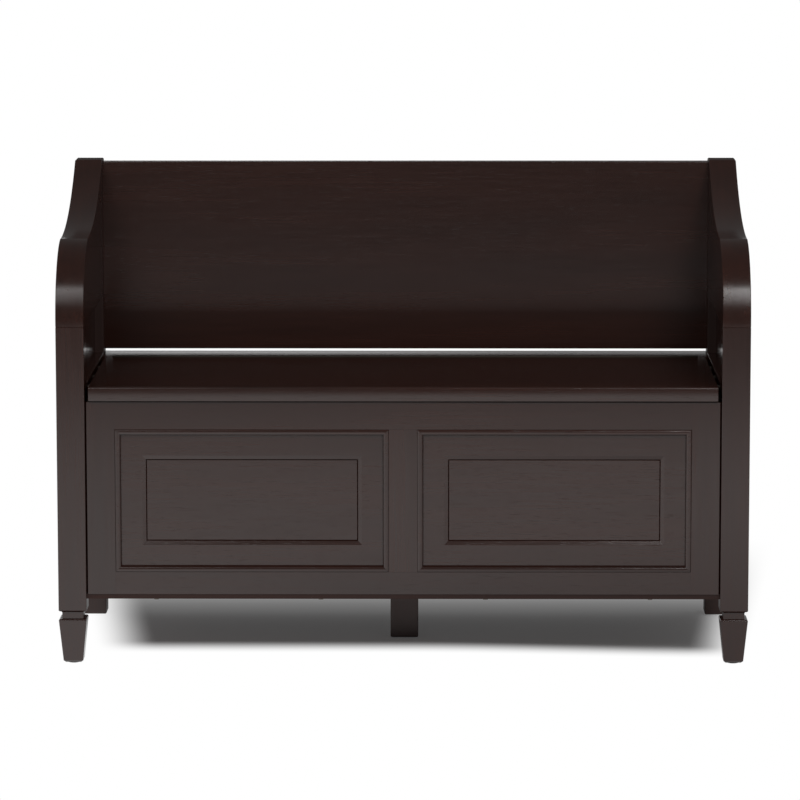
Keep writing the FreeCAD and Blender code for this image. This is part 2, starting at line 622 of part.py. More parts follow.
TENON_Y = (f"{GROOVE_FRONT} + joint_gap", f"{GROOVE_BACK} - joint_gap")
GROOVE_Y = (GROOVE_FRONT, GROOVE_BACK)


def frame_rail(name, z, grooved_edge):
    """A rail between the side stiles, with a stub tenon at each end and a groove along one edge."""
    body = board(name, (f"-{OPENING_OUTER}", OPENING_OUTER), (FRAME_FACE, FRAME_BACK), z)
    tenon_x = (f"-({OPENING_OUTER} + tongue_length)", f"({OPENING_OUTER} + tongue_length)")
    block(body, "Pad", "tenons", tenon_x, TENON_Y, z)
    block(body, "Pocket", "groove", tenon_x, GROOVE_Y, grooved_edge)
    return body


frame_rail("front_top_rail", (TOP_RAIL_BOTTOM, FRAME_TOP),
           (TOP_RAIL_BOTTOM, f"{TOP_RAIL_BOTTOM} + groove_depth"))
bottom_rail = frame_rail("front_bottom_rail", (FRAME_BOTTOM, LOWER_RAIL_TOP),
                         (f"{LOWER_RAIL_TOP} - groove_depth", LOWER_RAIL_TOP))
pilot(bottom_rail, "board_holes", board_front)

for hand, side in SIDES.items():
    stile = board(f"front_{hand}_stile", mirrored(side, (OPENING_OUTER, POST_INSIDE)),
                  (FRAME_FACE, FRAME_BACK), (FRAME_BOTTOM, FRAME_TOP))
    outer_x = side * number(POST_INSIDE)
    dress(stile, "Chamfer", "outer_edge", "frame_chamfer",
          lambda box: upright(box) and near(box.XMin, outer_x) and near(box.YMin, number(FRAME_FACE)))
    block(stile, "Pocket", "groove", mirrored(side, (OPENING_OUTER, f"{OPENING_OUTER} + groove_depth")),
          GROOVE_Y, (FRAME_BOTTOM, FRAME_TOP))
    drill(stile, "leg_holes", stile_outer[hand])

centre_stile = board("front_centre_stile", (f"-{OPENING_INNER}", OPENING_INNER), (FRAME_FACE, FRAME_BACK),
                     (LOWER_RAIL_TOP, TOP_RAIL_BOTTOM))
CENTRE_TENON_Z = (f"{LOWER_RAIL_TOP} - tongue_length", f"{TOP_RAIL_BOTTOM} + tongue_length")
block(centre_stile, "Pad", "tenons", (f"-{OPENING_INNER}", OPENING_INNER), TENON_Y, CENTRE_TENON_Z)
for hand, side in SIDES.items():
    block(centre_stile, "Pocket", f"{hand}_groove",
          mirrored(side, (f"{OPENING_INNER} - groove_depth", OPENING_INNER)), GROOVE_Y, CENTRE_TENON_Z)

# ---------------------------------------------------------------- front panels and mouldings

LIP_INSET = "(moulding_width + margin_width)"
FIELD_INSET = f"({LIP_INSET} + lip_width)"
LIP_FOOT = f"({PANEL_FACE} + lip_depth)"
BEAD_CHORD = "sqrt(moulding_width^2 + (bead_outer_edge - bead_inner_edge)^2)"
BEAD_RADIUS = f"(({BEAD_CHORD}^2/4 + bead_rise^2)/(2*bead_rise))"


def inset_box(x, inset, y):
    """Limits in X, Y and Z of a box inside the panel's opening, at the same distance from all its sides."""
    return ((f"{x[0]} + {inset}", f"{x[1]} - {inset}"), y,
            (f"{LOWER_RAIL_TOP} + {inset}", f"{TOP_RAIL_BOTTOM} - {inset}"))


def front_panel(hand, side):
    """A flat panel in the frame's grooves, with a sunk field inside a sloping lip."""
    x = mirrored(side, (OPENING_INNER, OPENING_OUTER))
    body = new_body(f"{hand}_front_panel")
    block(body, "Pad", "board", x, (PANEL_FACE, f"{PANEL_FACE} + panel_thickness"),
          (LOWER_RAIL_TOP, TOP_RAIL_BOTTOM))
    block(body, "Pad", "tongue", (f"{x[0]} - tongue_length", f"{x[1]} + tongue_length"), TENON_Y,
          (f"{LOWER_RAIL_TOP} - tongue_length", f"{TOP_RAIL_BOTTOM} + tongue_length"))
    block(body, "Pocket", "field", *inset_box(x, FIELD_INSET, (PANEL_FACE, f"{PANEL_FACE} + field_recess")))
    rims = []
    for name, inset, level in (("mouth", LIP_INSET, PANEL_FACE), ("foot", FIELD_INSET, LIP_FOOT)):
        rims.append(sketch_between(body, f"lip_{name}", "XZ_Plane", level, level))
        across, unused, up = inset_box(x, inset, level)
        draw(rims[-1], rectangle(across, up))
    lip = body.newObject("PartDesign::SubtractiveLoft", f"{body.Name}_lip")
    lip.Profile = rims[0]
    lip.Sections = [rims[1]]
    lip.Ruled = True
    body.Tip = lip


def panel_moulding(hand, side):
    """Four bead strips round a panel, mitred at the corners."""
    low_x, high_x = mirrored(side, (OPENING_INNER, OPENING_OUTER))
    low_z, high_z = LOWER_RAIL_TOP, TOP_RAIL_BOTTOM
    middle_x = f"({low_x} + {high_x})/2"
    body = new_body(f"{hand}_panel_moulding", 4)
    path = sketch_between(body, "path", "XZ_Plane", PANEL_FACE, PANEL_FACE)
    draw(path, [(middle_x, high_z), (low_x, high_z), (low_x, low_z), (high_x, low_z), (high_x, high_z)])
    section = sketch_between(body, "section", "YZ_Plane", middle_x, middle_x)
    draw(section, [(PANEL_FACE, high_z), (PANEL_FACE, f"{high_z} - moulding_width"),
                   (f"{PANEL_FACE} - bead_inner_edge", f"{high_z} - moulding_width"),
                   (f"{PANEL_FACE} - bead_outer_edge", high_z)],
         arcs={2: (BEAD_RADIUS, -1)})
    bead = body.newObject("PartDesign::AdditivePipe", f"{body.Name}_bead")
    bead.Profile = section
    bead.Spine = (path, [f"Edge{place}" for place in range(1, 6)])
    bead.Transition = "Right corner"
    body.Tip = bead
    reach = "(moulding_width + 1)"
    for name, x, sign_x in (("low", low_x, 1), ("high", high_x, -1)):
        for level, z, sign_z in (("bottom", low_z, 1), ("top", high_z, -1)):
            outer = (f"{x} - {sign_x}", f"{z} - {sign_z}")
            inner = (f"{x} + {sign_x}*{reach}", f"{z} + {sign_z}*{reach}")
            kerf = [(f"{outer[0]} - mitre_kerf/2", outer[1]), (f"{outer[0]} + mitre_kerf/2", outer[1]),
                    (f"{inner[0]} + mitre_kerf/2", inner[1]), (f"{inner[0]} - mitre_kerf/2", inner[1])]
            outline(body, "Pocket", f"mitre_{name}_{level}", "XZ_Plane", kerf,
                    f"{PANEL_FACE} - bead_outer_edge - bead_rise", PANEL_FACE)


for hand, side in SIDES.items():
    front_panel(hand, side)
    panel_moulding(hand, side)

# ---------------------------------------------------------------- bottom, centre leg and back

NOTCH_X = f"({POST_MIDDLE} + side_rail_thickness/2 - board_setback)"
BOARD_FRONT = f"({FRAME_FACE} + board_setback)"
BOARD_BACK = f"({BACK_RAIL_BACK} - board_setback)"
bottom_board = new_body("bottom_board")
right_edge = [(POST_INSIDE, BOARD_FRONT), (POST_INSIDE, BEHIND_FRONT_LEG), (NOTCH_X, BEHIND_FRONT_LEG),
              (NOTCH_X, BEFORE_REAR_LEG), (POST_INSIDE, BEFORE_REAR_LEG), (POST_INSIDE, BOARD_BACK)]
left_edge = [(f"-{x}", y) for x, y in reversed(right_edge)]
outline(bottom_board, "Pad", "board", "XY_Plane", right_edge + left_edge, "board_height", FRAME_BOTTOM)
for name, row in (("front", board_front), ("back", board_back), ("side", board_sides),
                  ("support", support_screws)):
    pilot(bottom_board, f"{name}_holes", row)

support_rail = board("support_rail",
                     (f"-({POST_INSIDE} + support_rail_overhang)", f"{POST_INSIDE} + support_rail_overhang"),
                     ("support_offset - support_rail_width/2", "support_offset + support_rail_width/2"),
                     (SUPPORT_RAIL_BOTTOM, "board_height"))
pilot(support_rail, "screw_holes", support_screws)
drill(support_rail, "leg_holes", centre_dowels)

centre_leg = new_body("centre_leg")
outline(centre_leg, "Pad", "post", "XY_Plane", square("0", "support_offset", "centre_leg_width"), TOE,
        SUPPORT_RAIL_BOTTOM)
dress(centre_leg, "Fillet", "long_edges", "post_edge", upright)
nail_hole(centre_leg, ("0", "support_offset"))
drill(centre_leg, "rail_holes", centre_dowels)

BETWEEN_POSTS = (f"-{POST_INSIDE}", POST_INSIDE)
lower_rail = board("lower_back_rail", BETWEEN_POSTS, (BACK_RAIL_FRONT, BACK_RAIL_BACK),
                   (FRAME_BOTTOM, LOWER_RAIL_TOP))
block(lower_rail, "Pocket", "groove", BETWEEN_POSTS, BACK_GROOVE_Y,
      (f"{LOWER_RAIL_TOP} - groove_depth", LOWER_RAIL_TOP))
pilot(lower_rail, "board_holes", board_back)
upper_rail = board("upper_back_rail", BETWEEN_POSTS, (BACK_RAIL_FRONT, BACK_RAIL_BACK),
                   (UPPER_BACK_RAIL_BOTTOM, LID_UNDERSIDE))
block(upper_rail, "Pocket", "groove", BETWEEN_POSTS, BACK_GROOVE_Y,
      (UPPER_BACK_RAIL_BOTTOM, f"{UPPER_BACK_RAIL_BOTTOM} + groove_depth"))
for hand in SIDES:
    drill(lower_rail, f"{hand}_holes", lower_back[hand])
    drill(upper_rail, f"{hand}_holes", upper_back[hand])

board("box_back_panel", (f"-({POST_INSIDE} + tongue_length)", f"{POST_INSIDE} + tongue_length"),
      (f"{BACK_RAIL_MIDDLE} - back_panel_thickness/2", f"{BACK_RAIL_MIDDLE} + back_panel_thickness/2"),
      (f"{LOWER_RAIL_TOP} - tongue_length", f"{UPPER_BACK_RAIL_BOTTOM} + tongue_length"))

backrest = board("backrest", (f"-({POST_INSIDE} + tongue_length)", f"{POST_INSIDE} + tongue_length"),
                 (BACKREST_FRONT, BACKREST_BACK),
                 ("seat_height + backrest_gap", "overall_height - backrest_drop"))
dress(backrest, "Fillet", "long_edges", "backrest_edge",
      lambda box: box.XLength > 20 and box.YLength < 0.01 and box.ZLength < 0.01)

# ---------------------------------------------------------------- lid and hinge rail

HINGE_SCREW_Z = "(seat_height - (leaf_height + barrel_radius + knuckle_gap)/2)"


def hinge_screw_row(side, way):
    """The screws of one leaf, which start at its inner face and run away from the hinge axis."""
    places = ["0"] + both_sides(*[f"({HINGE_END} - hinge_screw_margin)*{step}/4" for step in (1, 2, 3, 4)])
    return screw_row("XZ_Plane", [(x, HINGE_SCREW_Z) for x in places],
                     f"({HINGE_AXIS} + {side}*(leaf_offset - leaf_thickness))", way,
                     "hinge_screw_length", "hinge_screw")


fixed_screws = hinge_screw_row(1, 1)
moving_screws = hinge_screw_row(-1, -1)

hinge_rail = board("hinge_rail", BETWEEN_POSTS, (HINGE_RAIL_FRONT, HINGE_RAIL_BACK),
                   (LID_UNDERSIDE, "seat_height"))
pilot(hinge_rail, "hinge_screw_holes", fixed_screws)
for hand in SIDES:
    drill(hinge_rail, f"{hand}_holes", hinge_rail_end[hand])

lid = board("lid_board", (f"-{LID_END}", LID_END), (FRONT, LID_BACK), (LID_UNDERSIDE, "seat_height"))
dress(lid, "Fillet", "front_edge", "lid_front_round",
      lambda box: near(box.YMax, number(FRONT)) and near(box.ZMin, number("seat_height")))
dress(lid, "Fillet", "lower_front_edge", "lid_edge",
      lambda box: near(box.YMax, number(FRONT)) and near(box.ZMax, number(LID_UNDERSIDE)))
pilot(lid, "hinge_screw_holes", moving_screws)

BATTEN_Y = (f"({FRONT} + batten_front)", f"({HINGE_AXIS} - batten_back)")
BATTEN_MIDDLE_X = f"({LID_END} - batten_inset)"
BATTEN_SCREW_Y = (f"{BATTEN_Y[0]} + batten_screw_margin", f"({BATTEN_Y[0]} + {BATTEN_Y[1]})/2",
                  f"{BATTEN_Y[1]} - batten_screw_margin")
batten_screws = screw_row("XY_Plane", [(x, y) for x in both_sides(BATTEN_MIDDLE_X) for y in BATTEN_SCREW_Y],
                          f"({LID_UNDERSIDE} - batten_thickness)", 1, "batten_screw_length")
pilot(lid, "batten_screw_holes", batten_screws)
for hand, side in SIDES.items():
    batten = board(f"{hand}_lid_batten",
                   mirrored(side, (f"{BATTEN_MIDDLE_X} - batten_width/2",
                                   f"{BATTEN_MIDDLE_X} + batten_width/2")),
                   BATTEN_Y, (f"{LID_UNDERSIDE} - batten_thickness", LID_UNDERSIDE))
    pilot(batten, "screw_holes", batten_screws)

bumpers = new_body("lid_bumpers", 4)
rounds(bumpers, "Pad", "discs", "XY_Plane",
       [(x, FRAME_MIDDLE) for x in four_across(f"({LID_END} - bumper_inset)")],
       "bumper_radius", f"{FRAME_TOP} + bumper_clearance", LID_UNDERSIDE)

# ---------------------------------------------------------------- continuous hinge

KNUCKLE_PITCH = f"(2*{HINGE_END}/knuckle_count)"
LEAF_TOP = "(seat_height - barrel_radius - knuckle_gap)"
PIN_BORE = "(hinge_pin_radius + pin_clearance)"


def hinge_leaf(name, side, first_knuckle, knuckles, row):
    """A leaf against the wood on one side of the axis, with every other knuckle round the pin."""
    body = new_body(name)
    across = sorted((f"{HINGE_AXIS} + {side}*leaf_offset",
                     f"{HINGE_AXIS} + {side}*(leaf_offset - leaf_thickness)"), key=number)
    block(body, "Pad", "plate", (f"-{HINGE_END}", HINGE_END), across,
          ("seat_height - leaf_height", LEAF_TOP))
    low = f"-{HINGE_END} + {first_knuckle}*{KNUCKLE_PITCH} + knuckle_gap/2"
    high = f"-{HINGE_END} + ({first_knuckle} + 1)*{KNUCKLE_PITCH} - knuckle_gap/2"
    tab = block(body, "Pad", "tab", (low, high), across,
                ("seat_height - leaf_height/2", "seat_height - leaf_thickness/2"))
    barrel = rounds(body, "Pad", "barrel", "YZ_Plane", [(HINGE_AXIS, "seat_height")], "barrel_radius",
                    low, high)
    row_of_knuckles = body.newObject("PartDesign::LinearPattern", f"{name}_knuckles")
    row_of_knuckles.Originals = [tab, barrel]
    x_axis = next(item for item in body.Origin.OriginFeatures if item.Role == "X_Axis")
    row_of_knuckles.Direction = (x_axis, [""])
    row_of_knuckles.Mode = "Spacing"
    row_of_knuckles.setExpression("Offset", bound(f"2*{KNUCKLE_PITCH}"))
    row_of_knuckles.setExpression("Occurrences", bound(knuckles))
    body.Tip = row_of_knuckles
    rounds(body, "Pocket", "bore", "YZ_Plane", [(HINGE_AXIS, "seat_height")], PIN_BORE,
           f"-{HINGE_END}", HINGE_END)
    pilot(body, "screw_holes", row)


hinge_leaf("hinge_fixed_leaf", 1, 0, "floor((knuckle_count + 1)/2)", fixed_screws)
hinge_leaf("hinge_moving_leaf", -1, 1, "floor((knuckle_count - 1)/2)", moving_screws)
hinge_pin = new_body("hinge_pin")
rounds(hinge_pin, "Pad", "pin", "YZ_Plane", [(HINGE_AXIS, "seat_height")], "hinge_pin_radius",
       f"-{HINGE_END}", HINGE_END)

# ---------------------------------------------------------------- dowels and screws

dowels("arm_dowels", [row[hand] for row in (arm_front, arm_back) for hand in SIDES])
dowels("frame_dowels", list(stile_outer.values()))
dowels("back_rail_dowels", [row[hand] for row in (upper_back, lower_back) for hand in SIDES])
dowels("side_rail_dowels", [row[hand] for row in (side_front, side_back) for hand in SIDES])
dowels("hinge_rail_dowels", list(hinge_rail_end.values()))
dowels("centre_leg_dowels", [centre_dowels])
screws("bottom_board_screws", [board_front, board_back, board_sides])
screws("support_rail_screws", [support_screws])
screws("upper_side_rail_screws", list(seat_rail_screws.values()))
screws("ledge_screws", list(ledge_screws.values()))
screws("batten_screws", [batten_screws])
screws("hinge_fixed_screws", [fixed_screws])
screws("hinge_moving_screws", [moving_screws])

# ---------------------------------------------------------------- checks and export

doc.recompute()
failed = [item.Name for item in doc.Objects if {"Invalid", "Error"} & set(item.State)]
if failed:
    raise RuntimeError(f"failed objects: {failed}")
for item in doc.Objects:
    if item.TypeId == "PartDesign::Pocket" and item.BaseFeature:
        if item.Shape.Volume > item.BaseFeature.Shape.Volume - 0.01:
            raise RuntimeError(f"{item.Name} cuts nothing")
for name, solids in NODES.items():
    shape = doc.getObject(name).Shape
    if shape.isNull() or not shape.isValid() or len(shape.Solids) != solids:
        raise RuntimeError(f"{name} has {len(shape.Solids)} solids, not {solids}, or isn't valid")
    shape.exportStep(f"parts/{name}.step")
whole = FreeCAD.BoundBox()
for name in NODES:
    whole.add(doc.getObject(name).Shape.BoundBox)
print(len(NODES), "nodes;", "size", round(whole.XLength, 2), round(whole.YLength, 2), round(whole.ZLength, 2))
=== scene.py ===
# %% [markdown]
# # A storage bench in dark stained wood
# The bench is a box with a hinged lid for a seat, a plain backrest and two S-curved arms. Its solids come
# from the CAD model, which is loaded first and stays where it is. Most of what shows is then built again
# as surfaces with softly rounded edges, because light on dark lacquered wood lives on the edges, and a CAD
# face that ends in a knife edge catches none. Hidden boards and small fittings keep their CAD meshes.

import math

import bpy
import numpy as np
from mathutils import Euler, Matrix, Vector


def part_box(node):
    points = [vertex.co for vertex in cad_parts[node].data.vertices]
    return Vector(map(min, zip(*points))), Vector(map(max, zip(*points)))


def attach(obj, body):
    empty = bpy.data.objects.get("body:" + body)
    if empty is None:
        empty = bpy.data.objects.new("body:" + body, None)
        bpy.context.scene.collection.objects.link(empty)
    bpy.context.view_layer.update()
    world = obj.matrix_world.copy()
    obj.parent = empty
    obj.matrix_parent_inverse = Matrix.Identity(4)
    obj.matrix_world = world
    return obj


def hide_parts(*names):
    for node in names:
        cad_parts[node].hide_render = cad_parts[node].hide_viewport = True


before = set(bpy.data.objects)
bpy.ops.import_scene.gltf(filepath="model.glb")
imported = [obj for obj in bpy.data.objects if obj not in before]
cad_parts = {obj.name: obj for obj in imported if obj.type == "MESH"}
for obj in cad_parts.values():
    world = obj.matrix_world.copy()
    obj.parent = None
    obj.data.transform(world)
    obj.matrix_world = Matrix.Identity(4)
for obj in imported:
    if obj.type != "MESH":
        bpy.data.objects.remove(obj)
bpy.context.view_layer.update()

# %% [markdown]
# ## The camera
# A long lens far away keeps the bench's upright lines upright. It stands a little to the right of the
# middle and above the backrest, and looks down on the seat by about eight degrees. A camera in Blender
# looks down its own -Z axis, so a quarter turn about X makes it look along +Y.

# %% Camera
CAMERA_PLACE = (0.0704, -7.465, 1.482)
CAMERA_DOWN = 0.1433
CAMERA_LEFT = 0.0104
CAMERA_ROLL = -0.0008
LENS = 202.0
SENSOR_WIDTH = 36
FAR_LIMIT = 100

camera = bpy.data.objects.new("camera", bpy.data.cameras.new("camera"))
bpy.context.scene.collection.objects.link(camera)
camera.location = CAMERA_PLACE
aim = Euler((math.pi / 2 - CAMERA_DOWN, 0, CAMERA_LEFT)).to_matrix() @ Matrix.Rotation(CAMERA_ROLL, 3, "Z")
camera.rotation_euler = aim.to_euler()
camera.data.sensor_width = SENSOR_WIDTH
camera.data.lens = LENS
camera.data.clip_end = FAR_LIMIT
bpy.context.scene.camera = camera
print("camera at", CAMERA_PLACE, "with a lens of", camera.data.lens, "mm")

# %% [markdown]
# ## Skins made of patches
# Each piece is a closed skin made of patches. A patch is a grid of points with a normal for each point,
# both worked out by formula. The skin welds points that fall together, so that it has no seam, and gives
# each corner of each face the normal that its own patch worked out. A flat then shades flat right up to
# its rounding, which averaged normals would smear.

# %% Build a skin from patches
WELD = 1e-6
# Points are welded by rounding. This share of a step keeps round measures from where rounding flips.
WELD_SHIFT = 0.137


def grid(points, normals, closed=False):
    """A patch whose faces join neighbouring rows and columns. A closed one also joins its last column to
    its first."""
    rows, columns = points.shape[:2]
    index = np.arange(rows * columns).reshape(rows, columns)
    if closed:
        index = np.hstack([index, index[:, :1]])
    quads = np.stack([index[:-1, :-1], index[1:, :-1], index[1:, 1:], index[:-1, 1:]], axis=-1)
    return points.reshape(-1, 3), normals.reshape(-1, 3), quads.reshape(-1, 4)


def flat(points, normal):
    """A patch of one flat face with the given corners. A corner that repeats the one before is left out."""
    points = points[np.linalg.norm(points - np.roll(points, 1, axis=0), axis=1) > WELD]
    return points, np.broadcast_to(normal, points.shape), np.arange(len(points))[None]


def skin(name, patches):
    """An object whose mesh is the patches, welded. A face that would point against its own normals is
    turned round. Returns the object."""
    vertices = np.concatenate([points for points, normals, faces in patches])
    keys = np.round(vertices / WELD + WELD_SHIFT).astype(np.int64)
    first, home = np.unique(keys, axis=0, return_index=True, return_inverse=True)[1:]
    corners, corner_normals, lengths, start = [], [], [], 0
    for points, normals, faces in patches:
        ring = points[faces]
        facing = np.cross(ring, np.roll(ring, -1, axis=1)).sum(axis=1)
        against = (facing * normals[faces].sum(axis=1)).sum(axis=1) < 0
        faces = np.where(against[:, None], faces[:, ::-1], faces)
        corners.append(home.ravel()[faces.ravel() + start])
        corner_normals.append(normals[faces.ravel()])
        lengths.append(np.full(len(faces), faces.shape[1]))
        start += len(points)
    lengths = np.concatenate(lengths)
    mesh = bpy.data.meshes.new(name)
    mesh.vertices.add(len(first))
    mesh.vertices.foreach_set("co", vertices[first].ravel())
    mesh.loops.add(int(lengths.sum()))
    mesh.loops.foreach_set("vertex_index", np.concatenate(corners).astype(np.int32))
    mesh.polygons.add(len(lengths))
    mesh.polygons.foreach_set("loop_start", (np.cumsum(lengths) - lengths).astype(np.int32))
    mesh.update(calc_edges=True)
    mesh.normals_split_custom_set(np.concatenate(corner_normals).tolist())
    made = bpy.data.objects.new(name, mesh)
    bpy.context.scene.collection.objects.link(made)
    edges = np.empty(len(mesh.loops), np.int32)
    mesh.loops.foreach_get("edge_index", edges)
    print(f"{name}: {len(lengths)} faces, {(np.bincount(edges) != 2).sum()} open edges")
    return made


# %% [markdown]
# ## Boards
# A real board is planed and its arrises are taken off with a stroke of sandpaper or a small round cutter.
# A Bevel modifier could round them too, but a formula also gives the exact normals: each side of the box
# is a grid whose lines bunch at the rounding.

# %% The rounded board
def eased_board(low, high, ease, steps=3):
    """The skin of a board between two corners, with its edges rounded by ease.
    Both parameters of a side are angles that sweep from -45 to 45 degrees and stand still at 0 while the
    point crosses the flat. The point is the nearest corner of the board shrunk by ease, plus ease times
    the unit direction of (tan a, tan b, 1), which is also its normal."""
    sweep = np.radians(np.linspace(-45, 0, steps + 1))
    tangent = np.tan(np.concatenate([sweep, -sweep[::-1]]))
    end = np.repeat([0, 1], steps + 1)
    core = np.stack([np.array(low) + ease, np.array(high) - ease])
    patches = []
    for axis in range(3):
        across, up = (axis + 1) % 3, (axis + 2) % 3
        for side in (0, 1):
            way = np.zeros((len(end), len(end), 3))
            way[..., across] = tangent[:, None]
            way[..., up] = tangent[None, :]
            way[..., axis] = 2 * side - 1
            way /= np.linalg.norm(way, axis=-1, keepdims=True)
            corner = np.zeros_like(way)
            corner[..., across] = core[end, across][:, None]
            corner[..., up] = core[end, up][None, :]
            corner[..., axis] = core[side, axis]
            patches.append(grid(corner + ease * way, way))
    return patches


# %% [markdown]
# ## Outlines
# Arms, lid and mouldings are sawn or moulded to an outline, and a foot is turned to one, square instead
# of round. An outline here is a list of stretches, straight or round, that runs with the wood on its
# left, so its normals point to the right. Where two stretches meet at an angle, the corner stays crisp.

# %% Stretches of an outline
def straight(start, end):
    """A straight stretch and the normal to its right at both ends."""
    way = np.subtract(end, start) / np.linalg.norm(np.subtract(end, start))
    normal = np.array([way[1], -way[0]])
    return np.array([start, end], float), np.stack([normal, normal])


def arc(centre, radius, start, end, steps=8):
    """A round stretch between two angles in degrees. The normal points away from the centre, or towards
    it where the angle falls, as in a hollow."""
    angle = np.radians(np.linspace(start, end, steps + 1))
    away = np.stack([np.cos(angle), np.sin(angle)], axis=1)
    return np.array(centre) + radius * away, away if end > start else -away


def chain(*corners):
    """Straight stretches through the corners, in order."""
    return [straight(start, end) for start, end in zip(corners[:-1], corners[1:])]


# %% [markdown]
# ## Sawn boards
# The arms and the lid are flat boards sawn to a curved outline, whose edges are then eased with a round
# cutter. The cutter follows the outline, so each point of the rounding is the outline's own point, moved
# inward. A sweep with a bevel would give the same shape without the exact normals.

# %% A board sawn to an outline
def mitred(outline):
    """How each point of a closed outline moves when the outline shrinks by 1: against its normal, and at
    a corner against (n + m) / (1 + n.m), which keeps both stretches at the same distance."""
    shifts = [normals.copy() for points, normals in outline]
    for place, (points, normals) in enumerate(outline):
        before = outline[place - 1][1][-1]
        mitre = (before + normals[0]) / (1 + before @ normals[0])
        shifts[place - 1][-1] = mitre
        shifts[place][0] = mitre
    return shifts


def slab(outline, low, high, ease, steps=3):
    """The skin of a board sawn to a closed outline in the YZ plane, from low to high along X, with its
    edges rounded by ease. The parameters are the way round the outline and the angle a of the rounding:
    there the outline is shrunk by ease * (1 - cos a) and lies ease * sin a past the start of the
    rounding, and the normal is cos a times the outline's plus sin a along X."""
    angle = np.radians(np.linspace(0, 90, steps + 1))
    sine = np.concatenate([-np.sin(angle[::-1]), np.sin(angle)])
    cosine = np.concatenate([np.cos(angle[::-1]), np.cos(angle)])
    along = np.repeat([low + ease, high - ease], steps + 1) + ease * sine
    patches, rims = [], []
    for (points, normals), shift in zip(outline, mitred(outline)):
        inward = (ease * (1 - cosine))[None, :, None] * shift[:, None]
        flat_points = points[:, None] - inward
        place = np.dstack([np.broadcast_to(along, flat_points.shape[:2]), flat_points])
        normal = np.dstack([np.broadcast_to(sine, flat_points.shape[:2]),
                            cosine[None, :, None] * normals[:, None]])
        patches.append(grid(place, normal))
        rims.append(place[:, [0, -1]])
    rim = np.concatenate(rims)
    return patches + [flat(rim[:, 0], (-1, 0, 0)), flat(rim[:, 1], (1, 0, 0))]


# %% [markdown]
# ## Square turnings
# Posts and feet are square in section at every height, and their width follows an outline. A cabinetmaker
# saws the same outline on two faces and then on the other two.

# %% A post shaped to an outline
def square_turning(outline, centre, corner, steps=4):
    """The skin of a square post. The outline gives half its width and its height; at each of its points
    the section is a square with corners rounded by corner. A point is the middle of the nearest corner's
    rounding plus corner times the direction D. Its normal is D times the first part of the outline's
    normal, with the second part upwards."""
    theta = np.radians(np.concatenate([np.linspace(0, 90, steps + 1) + turn for turn in (0, 90, 180, 270)]))
    way = np.stack([np.cos(theta), np.sin(theta)], axis=1)
    quarter = np.repeat(np.radians([45, 135, 225, 315]), steps + 1)
    sign = np.sign(np.stack([np.cos(quarter), np.sin(quarter)], axis=1))
    patches, rims = [], []
    for points, normals in outline:
        half = points[:, 0][:, None, None]
        flat_points = np.array(centre) + (half - corner) * sign + corner * way
        height = np.broadcast_to(points[:, 1][:, None], flat_points.shape[:2])
        normal = np.dstack([normals[:, 0][:, None, None] * way,
                            np.broadcast_to(normals[:, 1][:, None], flat_points.shape[:2])])
        place = np.dstack([flat_points, height])
        patches.append(grid(place, normal, closed=True))
        rims.append(place)
    return patches + [flat(rims[0][0], (0, 0, -1)), flat(rims[-1][-1], (0, 0, 1))]


# %% [markdown]
# ## Profiles round a rectangle
# Mouldings and panel edges have one profile all the way round, with mitres at the corners. A profile's
# point keeps its distance from each side, so at a corner it lands on the diagonal by itself.

# %% A profile carried round a rectangle
def round_rectangle(profile, low, high, gap=0.0, capped=False):
    """Patches of a profile carried round a rectangle in the XZ plane, with mitred corners. The profile
    gives the distance inward from the rectangle's side, and the place along Y. Along a side its point
    runs from d + gap to the side's length minus that. A capped one closes the ends, as strips do."""
    width, height = high[0] - low[0], high[1] - low[1]
    sides = [((low[0], low[1]), (1, 0), (0, 1), width), ((high[0], low[1]), (0, 1), (-1, 0), height),
             ((high[0], high[1]), (-1, 0), (0, -1), width), ((low[0], high[1]), (0, -1), (1, 0), height)]
    patches = []
    for start, along, inward, length in sides:
        ends = []
        for points, normals in profile:
            travel = np.stack([points[:, 0] + gap, length - points[:, 0] - gap], axis=1)
            plane = np.array(start) + travel[..., None] * along + points[:, :1, None] * inward
            depth = np.repeat(points[:, 1:], 2, axis=1)
            place = np.dstack([plane[..., 0], depth, plane[..., 1]])
            across = normals[:, :1] * np.array(inward)
            normal = np.stack([across[:, 0], normals[:, 1], across[:, 1]], axis=1)
            patches.append(grid(place, np.repeat(normal[:, None], 2, axis=1)))
            ends.append(place)
        if capped:
            rim = np.concatenate(ends)
            lean = np.array([along[0] - inward[0], 0, along[1] - inward[1]]) / math.sqrt(2)
            back = np.array([along[0] + inward[0], 0, along[1] + inward[1]]) / math.sqrt(2)
            patches += [flat(rim[:, 0], -lean), flat(rim[:, 1], back)]
    return patches


# %% [markdown]
# ## Shader arithmetic
# A pattern is a sum of masks, which reads best as a sum. This class wraps one output socket of a node and
# turns each operator into a Math node, so that `1 - mask * 0.3` adds two nodes and wires them.

